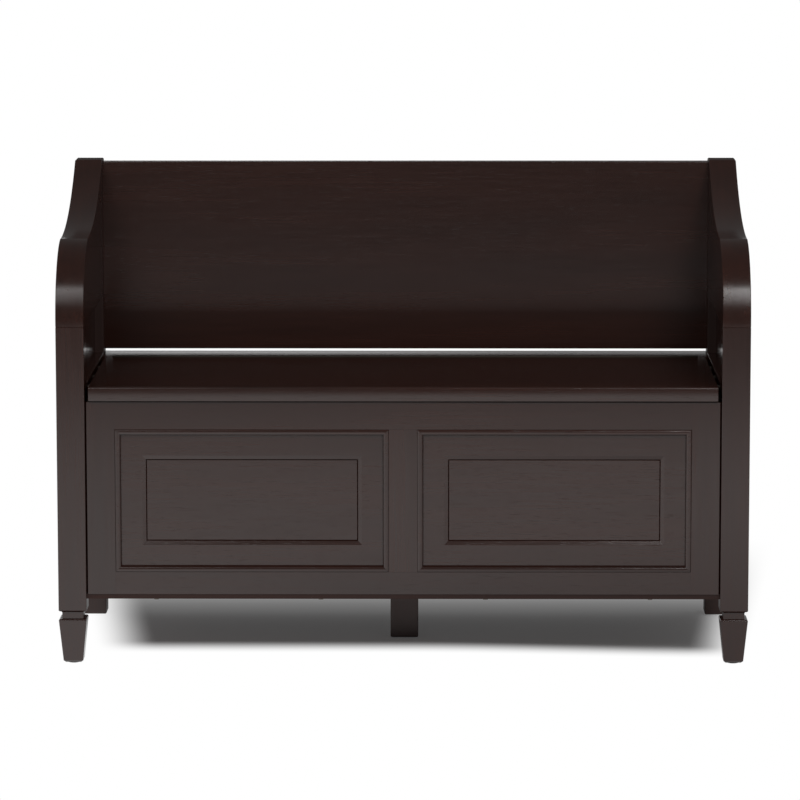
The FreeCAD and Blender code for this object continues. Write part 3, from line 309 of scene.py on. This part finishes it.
# %% The socket class
class Signal:
    """An output socket of a shader node that takes part in arithmetic."""

    def __init__(self, socket):
        self.socket = socket

    @staticmethod
    def node(tree, kind, settings=None, inputs=None, output=0):
        """A new node of a kind. Its settings are set first, then the values or links of its sockets."""
        made = tree.nodes.new(kind)
        for name, value in (settings or {}).items():
            setattr(made, name, value)
        for name, value in (inputs or {}).items():
            if isinstance(value, Signal):
                tree.links.new(value.socket, made.inputs[name])
            else:
                made.inputs[name].default_value = value
        return Signal(made.outputs[output])

    def math(self, operation, one, two):
        return Signal.node(self.socket.id_data, "ShaderNodeMath", {"operation": operation}, {0: one, 1: two})

    def __add__(self, other):
        return self.math("ADD", self, other)

    def __sub__(self, other):
        return self.math("SUBTRACT", self, other)

    def __rsub__(self, other):
        return self.math("SUBTRACT", other, self)

    def __mul__(self, other):
        return self.math("MULTIPLY", self, other)

    __radd__ = __add__

    def spread(self, low, high):
        """0 below low and 1 above high, with a smooth rise between."""
        return Signal.node(self.socket.id_data, "ShaderNodeMapRange", {"interpolation_type": "SMOOTHSTEP"},
                           {"Value": self, "From Min": low, "From Max": high})


# %% [markdown]
# ## The wood
# The stain is a brown close to black over a close-grained hardwood, under a satin lacquer. Grain shows
# only as long faint streaks, a few fine dark pores and growth rings that are hardly there. The streaks
# and pores are noise on Object coordinates, stretched along the board, and the rings are a sine across it.
# Real boards are cut along the grain, so each piece turns the pattern to its own grain and starts at its
# own place in the noise.

# %% Stained wood
GRAIN_TURN = {"X": (0, 0, 0), "Y": (0, 0, -math.pi / 2), "Z": (0, math.pi / 2, 0)}
STAIN_DARK = (0.023, 0.0066, 0.0038)
STAIN_LIGHT = (0.053, 0.0152, 0.0088)
# Features to the metre along the grain and across it.
FIGURE = (1.6, 22)
FIBRE = (9, 240)
PORES = (40, 1300)
WARP = (1.1, 5)
# Noise below this range is no pore, and above it all pore.
PORE_RANGE = (0.66, 0.74)
# The rings are a sine across the grain, bent by the warp. Both values are in radians, the first per metre.
RING_TURNS = 420
RING_BEND = 24
# How far one board's noise lies from the next one's, in metres.
BOARD_STEP = (1.7, 0.37, 0.53)
# How much each part moves the shade, which goes from 0, the dark stain, to 1, the light one.
FIGURE_SHARE = 1.1
FIBRE_SHARE = 0.5
RING_SHARE = 0.035
PORE_SHARE = 0.2
ROUGHNESS_SPREAD = 0.12
FIBRE_HEIGHT = 0.5
BUMP_STRENGTH = 0.15
BUMP_DEPTH = 0.0002


def streaks(tree, place, along, across, detail=3.0, roughness=0.55):
    """Noise with so many features to the metre along the grain and across it."""
    stretched = Signal.node(tree, "ShaderNodeVectorMath", {"operation": "MULTIPLY"},
                            {0: place, 1: (along, across, across)})
    return Signal.node(tree, "ShaderNodeTexNoise", None,
                       {"Vector": stretched, "Scale": 1.0, "Detail": detail, "Roughness": roughness})


def stained_wood(name, grain, start, tone=0.0, roughness=0.2, specular=0.7):
    """Dark stained wood. grain is the axis that the grain runs along, start tells boards apart, and tone
    above 0 is a paler board. The noise swings about 0.5."""
    material = bpy.data.materials.new(name)
    material.use_nodes = True
    tree = material.node_tree
    spot = Signal.node(tree, "ShaderNodeTexCoord", output="Object")
    place = Signal.node(tree, "ShaderNodeMapping", None,
                        {"Vector": spot, "Rotation": GRAIN_TURN[grain],
                         "Location": tuple(step * start for step in BOARD_STEP)})
    figure = streaks(tree, place, *FIGURE)
    fibre = streaks(tree, place, *FIBRE)
    pores = streaks(tree, place, *PORES, detail=1.0).spread(*PORE_RANGE)
    warp = streaks(tree, place, *WARP, detail=1.0)
    parts = Signal.node(tree, "ShaderNodeSeparateXYZ", None, {0: place}, "Y")
    rings = Signal.node(tree, "ShaderNodeMath", {"operation": "SINE"},
                        {0: parts * RING_TURNS + warp * RING_BEND})
    shade = (0.5 + tone + (figure - 0.5) * FIGURE_SHARE + (fibre - 0.5) * FIBRE_SHARE + rings * RING_SHARE
             - pores * PORE_SHARE)
    colour = Signal.node(tree, "ShaderNodeMix", {"data_type": "RGBA", "clamp_factor": True},
                         {"Factor": shade, "A": (*STAIN_DARK, 1), "B": (*STAIN_LIGHT, 1)}, 2)
    bump = Signal.node(tree, "ShaderNodeBump", None,
                       {"Strength": BUMP_STRENGTH, "Distance": BUMP_DEPTH,
                        "Height": fibre * FIBRE_HEIGHT - pores})
    shader = tree.nodes["Principled BSDF"]
    shader.inputs["Specular IOR Level"].default_value = specular
    tree.links.new(colour.socket, shader.inputs["Base Color"])
    tree.links.new((roughness + (fibre - 0.5) * ROUGHNESS_SPREAD).socket, shader.inputs["Roughness"])
    tree.links.new(bump.socket, shader.inputs["Normal"])
    return material


# %% [markdown]
# ## Pieces in their places
# Each piece takes over from one node of the CAD model and rides on the same body: nearly all belong to
# the bench, and the lid swings. A piece takes its measures from the node's box where that says enough.

# %% A piece in its place
def fit(name, patches, body, node, finish):
    """Makes a piece, gives it its finish, and lets it stand for a CAD node."""
    piece = skin(name, patches)
    piece.data.materials.append(finish)
    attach(piece, body)
    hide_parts(node)


HANDS = ("left", "right")


def box_of(node):
    """Lowest and highest corner of a CAD node as arrays."""
    low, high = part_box(node)
    return np.array(low), np.array(high)


# %% [markdown]
# ## Legs and feet
# The front legs are square posts that stand on tapered spade feet, with a narrow neck between. A turner
# would cut a neck on a lathe; here the same profile is worked on four sides, so the section is a square
# at each height. The rear legs and the middle leg are plain.

# %% Front legs
POST_HALF = 0.023
POST_CORNER = 0.0015
FOOT_TOP = 0.075
FOOT_TOP_HALF = 0.023
FOOT_TOE_HALF = 0.0159
NECK_HALF = 0.0175
NECK_TOP = 0.088
NECK_COVE = 0.0035
SHOULDER = 0.0025
TOE_CHAMFER = 0.003


def post_middle(node):
    """The middle of an upright piece in plan."""
    low, high = box_of(node)
    return ((low + high) / 2)[:2]


def spade_foot_outline(floor):
    """Half width and height from the toe up to the post."""
    lean = (FOOT_TOP_HALF - FOOT_TOE_HALF) / (FOOT_TOP - floor)
    toe = (FOOT_TOE_HALF + lean * TOE_CHAMFER, floor + TOE_CHAMFER)
    tilt = math.degrees(math.atan(lean))
    shoulder = (FOOT_TOP_HALF - SHOULDER - lean * SHOULDER, FOOT_TOP - SHOULDER)
    points, normals = arc(shoulder, SHOULDER, -tilt, 90, steps=6)
    cove = arc((NECK_HALF + NECK_COVE, NECK_TOP - NECK_COVE), NECK_COVE, 180, 90, steps=6)
    return ([straight((FOOT_TOE_HALF - TOE_CHAMFER, floor), toe), straight(toe, points[0]), (points, normals),
             straight(points[-1], (NECK_HALF, FOOT_TOP)),
             straight((NECK_HALF, FOOT_TOP), (NECK_HALF, NECK_TOP - NECK_COVE)), cove]
            + chain((NECK_HALF + NECK_COVE, NECK_TOP), (POST_HALF - POST_CORNER, NECK_TOP),
                    (POST_HALF, NECK_TOP + POST_CORNER)))


JOINT_EASE = 0.0008
for number, hand in enumerate(HANDS):
    node = f"front_{hand}_leg"
    low, high = box_of(node)
    outline = spade_foot_outline(low[2]) + chain(
        (POST_HALF, NECK_TOP + POST_CORNER), (POST_HALF, high[2] - JOINT_EASE),
        (POST_HALF - JOINT_EASE, high[2]))
    finish = stained_wood(f"front_{hand}_leg_wood", "Z", 3 + number)
    fit(f"front_{hand}_post_and_foot", square_turning(outline, post_middle(node), POST_CORNER), "bench", node,
        finish)

# %% [markdown]
# The rear legs run from the floor to above the backrest, with all four edges eased. The short middle leg
# stands in the shade of the box. These three have a duller coat than the front, and a slightly darker
# stain that is painted shade for their place under and behind the box.

# %% Plain legs
CENTRE_HALF = 0.02325
for number, (node, half) in enumerate((("rear_left_leg", POST_HALF), ("rear_right_leg", POST_HALF),
                                       ("centre_leg", CENTRE_HALF))):
    low, high = box_of(node)
    outline = chain((half - POST_CORNER, low[2]), (half, low[2] + POST_CORNER), (half, high[2] - POST_CORNER),
                    (half - POST_CORNER, high[2]))
    # tone=-0.1 is painted shade: it darkens the stain of these legs, which stand under and behind the box.
    finish = stained_wood(f"{node}_wood", "Z", 5 + number, tone=-0.1, roughness=0.5)
    fit(node.replace("leg", "post"), square_turning(outline, post_middle(node), POST_CORNER), "bench", node,
        finish)

# %% [markdown]
# ## Arms
# Each arm is sawn from a thick plank: a round nose over the front leg, a crease, and a long hollow up to
# the top of the rear leg. The nose carries the brightest highlight of the bench, so it is cut finely.

# %% Arms
NOSE_START = 0.0035
NOSE_RADIUS = 0.131
CREASE_DEPTH = 0.110
ARM_EASE = 0.0015
COVE_STEPS = 48
NOSE_STEPS = 64
for number, hand in enumerate(HANDS):
    low, high = box_of(f"{hand}_arm")
    high[2] = box_of(f"rear_{hand}_leg")[1][2]
    nose = (low[1] + NOSE_RADIUS, low[2] + NOSE_START)
    crease_angle = 180 - math.degrees(math.acos((NOSE_RADIUS - CREASE_DEPTH) / NOSE_RADIUS))
    crease = (low[1] + CREASE_DEPTH, nose[1] + NOSE_RADIUS * math.sin(math.radians(crease_angle)))
    run, rise = high[1] - crease[0], high[2] - crease[1]
    cove_radius = (run**2 + rise**2) / (2 * rise)
    cove_end = -90 + math.degrees(math.asin(run / cove_radius))
    outline = [straight((low[1], low[2]), (high[1], low[2])), straight((high[1], low[2]), (high[1], high[2])),
               arc((crease[0], crease[1] + cove_radius), cove_radius, cove_end, -90, COVE_STEPS),
               arc(nose, NOSE_RADIUS, crease_angle, 180, NOSE_STEPS),
               straight((low[1], low[2] + NOSE_START), (low[1], low[2]))]
    print(f"{hand} arm: cove radius {cove_radius:.4f}, crease at {crease_angle:.1f} degrees")
    fit(f"{hand}_curved_arm", slab(outline, low[0], high[0], ARM_EASE), "bench", f"{hand}_arm",
        stained_wood(f"{hand}_arm_wood", "Y", 8 + number))

# %% [markdown]
# ## The front frame
# The outer stiles run the full height, the rails fit between them, and the middle stile fits between the
# rails. Tenons inside the joints don't show and are left out. The joints are glued and sanded flush, so
# their edges are hardly eased. The boards of the sides, the back and the backrest are made the same way.

# %% Rails, stiles and plain boards
FRAME_EASE = 0.0002
BOARD_EASE = 0.001
RAIL_EASE = 0.0015
BACKREST_EASE = 0.002
# The piece, its CAD node, the axis of its grain, its tone and how far its edges are rounded.
BOARDS = [
    ("front_top_rail_board", "front_top_rail", "X", -0.06, FRAME_EASE),
    ("front_bottom_rail_board", "front_bottom_rail", "X", -0.1, FRAME_EASE),
    ("front_centre_stile_board", "front_centre_stile", "Z", 0.04, FRAME_EASE),
    ("left_side_board", "left_side_panel", "Y", 0.0, BOARD_EASE),
    ("right_side_board", "right_side_panel", "Y", 0.0, BOARD_EASE),
    ("left_lower_side_rail_board", "left_lower_side_rail", "Y", 0.0, RAIL_EASE),
    ("right_lower_side_rail_board", "right_lower_side_rail", "Y", 0.0, RAIL_EASE),
    ("left_upper_side_rail_board", "left_upper_side_rail", "Y", 0.0, BOARD_EASE),
    ("right_upper_side_rail_board", "right_upper_side_rail", "Y", 0.0, BOARD_EASE),
    ("lower_back_rail_board", "lower_back_rail", "X", 0.0, RAIL_EASE),
    ("upper_back_rail_board", "upper_back_rail", "X", 0.0, RAIL_EASE),
    ("hinge_rail_board", "hinge_rail", "X", 0.0, BOARD_EASE),
    ("backrest_board", "backrest", "X", -0.02, BACKREST_EASE),
]
rail_end = box_of("front_right_stile")[0][0]
rail_edges = box_of("front_bottom_rail")[1][2], box_of("front_top_rail")[0][2]
SHOWN = {"front_top_rail": (0, -rail_end, rail_end), "front_bottom_rail": (0, -rail_end, rail_end),
         "front_centre_stile": (2, *rail_edges)}
for number, (name, node, grain, tone, ease) in enumerate(BOARDS):
    low, high = box_of(node)
    if node in SHOWN:
        axis, start, end = SHOWN[node]
        low[axis], high[axis] = start, end
    finish = stained_wood(f"{node}_wood", grain, 12 + number, tone)
    fit(name, eased_board(low, high, ease), "bench", node, finish)

# %% [markdown]
# The two outer stiles have a chamfer along the leg. It leaves a groove there, which reads as a dark line
# and hides how the frame and the leg move against each other over the seasons. A stile is a slab whose
# outline lies in plan, so the slab's axes are rolled round to stand it up.

# %% Outer stiles
CHAMFER_WIDE = 0.0025
CHAMFER_DEEP = 0.0035


def stile_outline(low, high, mirrored):
    """The plan of an outer stile with its chamfer at the left of the front, or mirrored at the right."""
    corners = np.array([(low[0] + CHAMFER_WIDE, low[1]), (high[0], low[1]), (high[0], high[1]),
                        (low[0], high[1]), (low[0], low[1] + CHAMFER_DEEP)])
    if mirrored:
        corners[:, 0] = low[0] + high[0] - corners[:, 0]
        corners = corners[::-1]
    return chain(*corners, corners[0])


for number, hand in enumerate(HANDS):
    node = f"front_{hand}_stile"
    low, high = box_of(node)
    lying = slab(stile_outline(low, high, hand == "right"), low[2], high[2], FRAME_EASE)
    standing = [(np.roll(points, -1, axis=1), np.roll(normals, -1, axis=1), faces)
                for points, normals, faces in lying]
    fit(f"{node}_board", standing, "bench", node, stained_wood(f"{node}_wood", "Z", 33 + number, tone=-0.07))

# %% [markdown]
# ## The lid
# The lid is one glued-up board. A router rounds its top front edge with a small cutter, and the front is
# sanded to a faint bow, so that its upper half turns to the dim room and its lower half to the bright
# floor. Drawn flat it would be one even tone. The other edges are only eased.

# %% The lid board
LID_TOP_ROUND = 0.004
LID_LOW_ROUND = 0.0015
LID_END_EASE = 0.0008
BOW_UP = 3.0
BOW_DOWN = 5.0


def lid_outline(low, high):
    """The lid's section. The bowed front is an arc whose normal turns from BOW_UP degrees above the level
    to BOW_DOWN degrees below it. Both rounds touch it, which gives its radius:
    R * (sin u + sin d) = thickness - r * (1 - sin u) - s * (1 - sin d)."""
    up, down = math.sin(math.radians(BOW_UP)), math.sin(math.radians(BOW_DOWN))
    thickness = high[2] - low[2]
    radius = (thickness - LID_TOP_ROUND * (1 - up) - LID_LOW_ROUND * (1 - down)) / (up + down)
    bow = np.array([low[1] + radius, high[2] - LID_TOP_ROUND - (radius - LID_TOP_ROUND) * up])
    top = bow + (radius - LID_TOP_ROUND) * np.array([-math.cos(math.radians(BOW_UP)), up])
    foot = bow - (radius - LID_LOW_ROUND) * np.array([math.cos(math.radians(BOW_DOWN)), down])
    print(f"lid: bow of radius {radius:.4f}")
    return [straight((foot[0], low[2]), (high[1], low[2])),
            straight((high[1], low[2]), (high[1], high[2] - LID_LOW_ROUND)),
            arc((high[1] - LID_LOW_ROUND, high[2] - LID_LOW_ROUND), LID_LOW_ROUND, 0, 90, steps=4),
            straight((high[1] - LID_LOW_ROUND, high[2]), (top[0], high[2])),
            arc(top, LID_TOP_ROUND, 90, 180 - BOW_UP),
            arc(bow, radius, 180 - BOW_UP, 180 + BOW_DOWN),
            arc(foot, LID_LOW_ROUND, 180 + BOW_DOWN, 270, steps=4)]


low, high = box_of("lid_board")
fit("seat_lid", slab(lid_outline(low, high), low[0], high[0], LID_END_EASE), "lid", "lid_board",
    stained_wood("lid_wood", "X", 31, tone=-0.02))

# %% [markdown]
# ## Panels and mouldings
# Each panel is the reverse of a raised one: the field lies lower than the flat margin. Between them is a
# sloping lip, rounded at its upper edge, and a narrow V groove runs round the field at the foot of the lip,
# where its shadow draws a line. A beaded moulding hides the joint between panel and frame. It comes in
# strips cut at 45 degrees, one to each side of the opening.

# %% Panels with a sunk field
MOULDING_WIDTH = 0.010
BEAD_OUTER_EDGE = 0.0055
BEAD_INNER_EDGE = 0.002
BEAD_RISE = 0.0039
BEAD_STEPS = 14
MITRE_GAP = 0.0001
MARGIN_WIDTH = 0.0343
LIP_WIDTH = 0.006
LIP_DEPTH = 0.0027
LIP_ROUND = 0.0015
LIP_INSET = MOULDING_WIDTH + MARGIN_WIDTH
GROOVE_WIDTH = 0.0018
GROOVE_DEPTH = 0.0014
FIELD_RECESS = 0.0035


def panel_opening(hand):
    """Lowest and highest corner in X and Z of the opening that a panel fills."""
    stiles = sorted([box_of(f"front_{hand}_stile"), box_of("front_centre_stile")], key=lambda box: box[0][0])
    bottom, top = box_of("front_bottom_rail")[1][2], box_of("front_top_rail")[0][2]
    return (stiles[0][1][0], bottom), (stiles[1][0][0], top)


def sunk_panel(low, high, opening):
    """A panel with a sunk field. Its front profile runs inward from the opening's side: the flat margin, a
    round into the sloping lip, the lip, and a narrow V groove round the field."""
    face, floor = low[1], low[1] + FIELD_RECESS
    hidden = opening[0][0] - low[0]
    slope = math.degrees(math.atan2(LIP_DEPTH, LIP_WIDTH))
    reach = LIP_ROUND * math.tan(math.radians(slope / 2))
    crest = arc((LIP_INSET - reach, face + LIP_ROUND), LIP_ROUND, 270, 270 + slope, steps=4)
    lip_foot = LIP_INSET + LIP_WIDTH
    inset = lip_foot + GROOVE_WIDTH
    groove = (lip_foot + GROOVE_WIDTH / 2, floor + GROOVE_DEPTH)
    profile = ([straight((-hidden, high[1]), (-hidden, face)), straight((-hidden, face), crest[0][0]), crest]
               + chain(crest[0][-1], (lip_foot, face + LIP_DEPTH), groove, (inset, floor)))
    patches = round_rectangle(profile, *opening)
    (left, bottom), (right, top) = np.add(opening[0], inset), np.subtract(opening[1], inset)
    field = np.array([(left, floor, bottom), (right, floor, bottom), (right, floor, top), (left, floor, top)])
    left, bottom, right, top = low[0], opening[0][1] - hidden, high[0], opening[1][1] + hidden
    back = np.array([(left, high[1], bottom), (right, high[1], bottom), (right, high[1], top),
                     (left, high[1], top)])
    return patches + [flat(field, (0, -1, 0)), flat(back, (0, 1, 0))]


def bead_strips(face, opening):
    """Four strips of bead moulding. The profile starts at the frame: the outer side, the bead, the inner
    side and the back. The bead is an arc over the line between its edges, whose radius follows from half
    that line's length h and the rise r as (h * h + r * r) / (2 * r)."""
    outer, inner = np.array([0, face - BEAD_OUTER_EDGE]), np.array([MOULDING_WIDTH, face - BEAD_INNER_EDGE])
    half = np.linalg.norm(inner - outer) / 2
    radius = (half**2 + BEAD_RISE**2) / (2 * BEAD_RISE)
    lean = math.degrees(math.atan2(inner[1] - outer[1], inner[0] - outer[0]))
    along = (inner - outer) / (2 * half)
    centre = (outer + inner) / 2 + (radius - BEAD_RISE) * np.array([-along[1], along[0]])
    spread = math.degrees(math.asin(half / radius))
    bead = arc(centre, radius, 270 + lean - spread, 270 + lean + spread, BEAD_STEPS)
    profile = [straight((0, face), outer), bead] + chain(inner, (MOULDING_WIDTH, face), (0, face))
    return round_rectangle(profile, *opening, MITRE_GAP, capped=True)


for number, hand in enumerate(HANDS):
    low, high = box_of(f"{hand}_front_panel")
    opening = panel_opening(hand)
    print(f"{hand} opening:", np.round(opening, 4).tolist(), "panel:", np.round(low, 4), np.round(high, 4))
    fit(f"{hand}_sunk_panel", sunk_panel(low, high, opening), "bench", f"{hand}_front_panel",
        stained_wood(f"{hand}_panel_wood", "X", 41 + number, tone=0.04))
    fit(f"{hand}_bead_moulding", bead_strips(low[1], opening), "bench", f"{hand}_panel_moulding",
        stained_wood(f"{hand}_moulding_wood", "X", 43 + number, tone=0.02))

# %% [markdown]
# ## Finishes of the CAD meshes
# The battens, ledges and thin boards have the stain without the lacquer. The dowels are plain beech, the
# hinge is dark bronze, the screws are darkened steel, the glides black nylon and the bumpers rubber.
# A CAD node that no piece stands for keeps its own mesh, and takes the finish of its slot.

# %% Finishes of the CAD nodes
SPOT_DETAIL = 4.0
SPOT_ROUGHNESS_SPREAD = 0.2


def speckled(name, dark, light, features, roughness, metallic=0.0):
    """A finish whose colour wanders between two tones in soft spots, so many features to the metre."""
    material = bpy.data.materials.new(name)
    material.use_nodes = True
    tree = material.node_tree
    place = Signal.node(tree, "ShaderNodeTexCoord", output="Object")
    spots = Signal.node(tree, "ShaderNodeTexNoise", None,
                        {"Vector": place, "Scale": features, "Detail": SPOT_DETAIL})
    colour = Signal.node(tree, "ShaderNodeMix", {"data_type": "RGBA"},
                         {"Factor": spots, "A": (*dark, 1), "B": (*light, 1)}, 2)
    shader = tree.nodes["Principled BSDF"]
    tree.links.new(colour.socket, shader.inputs["Base Color"])
    tree.links.new((roughness + (spots - 0.5) * SPOT_ROUGHNESS_SPREAD).socket, shader.inputs["Roughness"])
    shader.inputs["Metallic"].default_value = metallic
    return material


SLOT_FINISHES = {
    "dark_wood": stained_wood("hidden_stained_wood", "X", 50),
    "inner_wood": stained_wood("unlacquered_wood", "Y", 51, tone=0.1, roughness=0.6, specular=0.4),
    "thin_board": stained_wood("thin_stained_board", "X", 52, tone=-0.2, roughness=0.5, specular=0.4),
    "dowel_wood": speckled("beech_dowel", (0.42, 0.27, 0.15), (0.55, 0.38, 0.23), 60, 0.6),
    "hinge_bronze": speckled("dark_bronze", (0.04, 0.033, 0.028), (0.06, 0.051, 0.043), 90, 0.45, 1.0),
    "screw_steel": speckled("darkened_steel", (0.14, 0.13, 0.115), (0.22, 0.2, 0.175), 200, 0.4, 1.0),
    "glide_plastic": speckled("black_nylon", (0.016, 0.015, 0.014), (0.026, 0.025, 0.024), 120, 0.5),
    "bumper_rubber": speckled("black_rubber", (0.012, 0.012, 0.012), (0.02, 0.02, 0.02), 120, 0.8),
}
SLOT_NODES = {
    "inner_wood": ("ledge", "batten", "support_rail"),
    "thin_board": ("bottom_board", "box_back_panel"),
    "dowel_wood": ("dowels",),
    "hinge_bronze": ("hinge_fixed_leaf", "hinge_moving_leaf", "hinge_pin"),
    "screw_steel": ("screws",),
    "glide_plastic": ("glides",),
    "bumper_rubber": ("bumpers",),
}


def slot_of(node):
    """The slot of a CAD node: the last one whose words are in the node's name."""
    found = [slot for slot, words in SLOT_NODES.items() if any(word in node for word in words)]
    return found[-1] if found else "dark_wood"


for node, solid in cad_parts.items():
    solid.data.materials.clear()
    solid.data.materials.append(SLOT_FINISHES[slot_of(node)])
print({slot: sum(slot_of(node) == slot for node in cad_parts) for slot in SLOT_FINISHES})

# %% [markdown]
# ## Floor and backdrop
# The bench stands on a white floor, with a low white wall almost nine metres behind it. Both are matt. The
# floor ends about three metres in front of the bench, where the dim room begins. That matters: the front
# of the bench mirrors the bright floor near it, while the backrest mirrors the dim room beyond it and so
# looks darker. Under the bench and close behind it the floor shows its own shading, which is the shadow.
# Elsewhere the camera sees plain white, and so do mirror-like rays, except towards the right. There they
# see part of the floor's and the wall's own shading, from about two metres in front of the bench backward.
# The right foot and the right end of the bottom rail look darker for it. So do the middle leg and, at its
# right, the hinge rail behind the lid, which mirrors the wall through the gap under the backrest.

# %% The white corner
FLOOR_FRONT, FLOOR_BACK, FLOOR_LEFT, FLOOR_RIGHT = -3.2, 9.0, -4.0, 2.5
WALL_TOP = 1.8
FLOOR_WHITE = (0.94, 0.94, 0.94, 1)
# Where the camera sees the floor's own shading, in metres. SHADOW_SIDE is measured both ways from
# SHADOW_MIDDLE, and SHADOW_FRONT and SHADOW_BACK forward and backward from the bench's middle. Each goes
# from all of it to none. SHADOW_FLARE widens the patch at both sides by so much for each metre backward.
# SHADOW_SLANT brings its front edge forward, bit by bit over SLANT_ACROSS, from left to right.
# SHADOW_LIFT is the share of plain white that is left in it.
SHADOW_MIDDLE = 0.03
SHADOW_SIDE = (0.45, 0.56)
SHADOW_FRONT = (0.033, 0.143)
SHADOW_BACK = (0.15, 1.0)
SHADOW_FLARE = 0.12
SHADOW_SLANT = 0.042
SLANT_ACROSS = (0, 0.55)
SHADOW_LIFT = 0.045
# Outside that patch mirror-like rays see at most MIRROR_DIM of the own shading. It grows from none over
# MIRROR_RIGHT, from left to right, and fades out over MIRROR_FRONT, forward from the bench's middle.
MIRROR_DIM = 0.6
MIRROR_RIGHT = (-0.7, 0.6)
MIRROR_FRONT = (0.3, 2.1)


def matt_white(name):
    """Matt white. Under the bench and close behind it the camera sees its own shading, and so the shadow,
    with a little plain white that lightens it. Elsewhere the camera sees plain white of strength 1.
    Mirror-like rays see the same, but towards the right part of the own shading as well."""
    material = bpy.data.materials.new(name)
    material.use_nodes = True
    tree = material.node_tree
    shader = tree.nodes["Principled BSDF"]
    shader.inputs["Base Color"].default_value = FLOOR_WHITE
    shader.inputs["Roughness"].default_value = 1.0
    shader.inputs["Specular IOR Level"].default_value = 0.0
    place = Signal.node(tree, "ShaderNodeTexCoord", output="Object")
    parts = Signal.node(tree, "ShaderNodeSeparateXYZ", None, {0: place}).socket.node.outputs
    across, depth = Signal(parts["X"]), Signal(parts["Y"])
    beside = Signal.node(tree, "ShaderNodeMath", {"operation": "ABSOLUTE"}, {0: across - SHADOW_MIDDLE})
    beside = beside - depth * SHADOW_FLARE
    forward = 0 - depth
    before = forward - across.spread(*SLANT_ACROSS) * SHADOW_SLANT
    shown = ((1 - beside.spread(*SHADOW_SIDE)) * (1 - before.spread(*SHADOW_FRONT))
             * (1 - depth.spread(*SHADOW_BACK)) * (1 - SHADOW_LIFT))
    path = Signal.node(tree, "ShaderNodeLightPath").socket.node.outputs
    dimmed = across.spread(*MIRROR_RIGHT) * (1 - forward.spread(*MIRROR_FRONT)) * MIRROR_DIM
    seen = Signal(path["Is Glossy Ray"]) * (1 - dimmed)
    for ray in ("Is Camera Ray", "Is Transmission Ray"):
        seen = seen.math("MAXIMUM", seen, Signal(path[ray]))
    plain = Signal.node(tree, "ShaderNodeEmission", None, {"Color": (1, 1, 1, 1), "Strength": 1.0})
    mixed = Signal.node(tree, "ShaderNodeMixShader", None, {0: seen * (1 - shown)})
    tree.links.new(shader.outputs[0], mixed.socket.node.inputs[1])
    tree.links.new(plain.socket, mixed.socket.node.inputs[2])
    tree.links.new(mixed.socket, tree.nodes["Material Output"].inputs["Surface"])
    return material


def stage_plane(name, corners, material):
    """A four-cornered part of the studio."""
    mesh = bpy.data.meshes.new(name)
    mesh.from_pydata(corners, [], [(0, 1, 2, 3)])
    made = bpy.data.objects.new(name, mesh)
    made.data.materials.append(material)
    bpy.context.scene.collection.objects.link(made)


white = matt_white("matt_white")
stage_plane("floor", [(FLOOR_LEFT, FLOOR_FRONT, 0), (FLOOR_RIGHT, FLOOR_FRONT, 0),
                      (FLOOR_RIGHT, FLOOR_BACK, 0), (FLOOR_LEFT, FLOOR_BACK, 0)], white)
stage_plane("wall", [(FLOOR_LEFT, FLOOR_BACK, 0), (FLOOR_RIGHT, FLOOR_BACK, 0),
                     (FLOOR_RIGHT, FLOOR_BACK, WALL_TOP), (FLOOR_LEFT, FLOOR_BACK, WALL_TOP)], white)

# %% [markdown]
# ## The room
# Beyond the white corner the studio is dim. It lightens the shadows a little. The parts of the arms that
# face up and forward mirror it, and so does the backrest's front, save for its foot, which mirrors the
# lid. So they stay dark, and so does the lid's top, which mirrors the backrest.

# %% The dim room
ROOM = 0.12
world = bpy.data.worlds.new("dim_room")
bpy.context.scene.world = world
world.use_nodes = True
world.node_tree.nodes["Background"].inputs["Color"].default_value = (1, 1, 1, 1)
world.node_tree.nodes["Background"].inputs["Strength"].default_value = ROOM
print("brightness of the room:", ROOM)

# %% [markdown]
# ## The lamps
# Two softboxes stand in front, one on each side and about 34 degrees up. They draw the bright bands on
# the noses of the arms, the right one more brightly than the left. Between them it is dark, and so no
# lamp shows in the lid, the backrest or the tops of the mouldings.

# %% Softboxes
def softbox(name, place, aimed_at, width, height, brightness):
    """A rectangular area lamp that looks at a point. Its power is pi * area * brightness."""
    lamp = bpy.data.lights.new(name, "AREA")
    lamp.shape = "RECTANGLE"
    lamp.size, lamp.size_y, lamp.energy = width, height, math.pi * width * height * brightness
    made = bpy.data.objects.new(name, lamp)
    bpy.context.scene.collection.objects.link(made)
    made.location = place
    made.rotation_euler = (Vector(aimed_at) - Vector(place)).to_track_quat("-Z", "Y").to_euler()
    print(f"{name}: {lamp.energy:.0f} W")


LAMPS_AIM = (0, 0, 0.5)
softbox("left_softbox", (-1.55, -3.2, 2.9), LAMPS_AIM, width=1.4, height=1.8, brightness=3.1)
softbox("right_softbox", (1.35, -3.2, 2.85), LAMPS_AIM, width=1.0, height=1.6, brightness=7.5)

bpy.context.scene.view_settings.view_transform = "Standard"
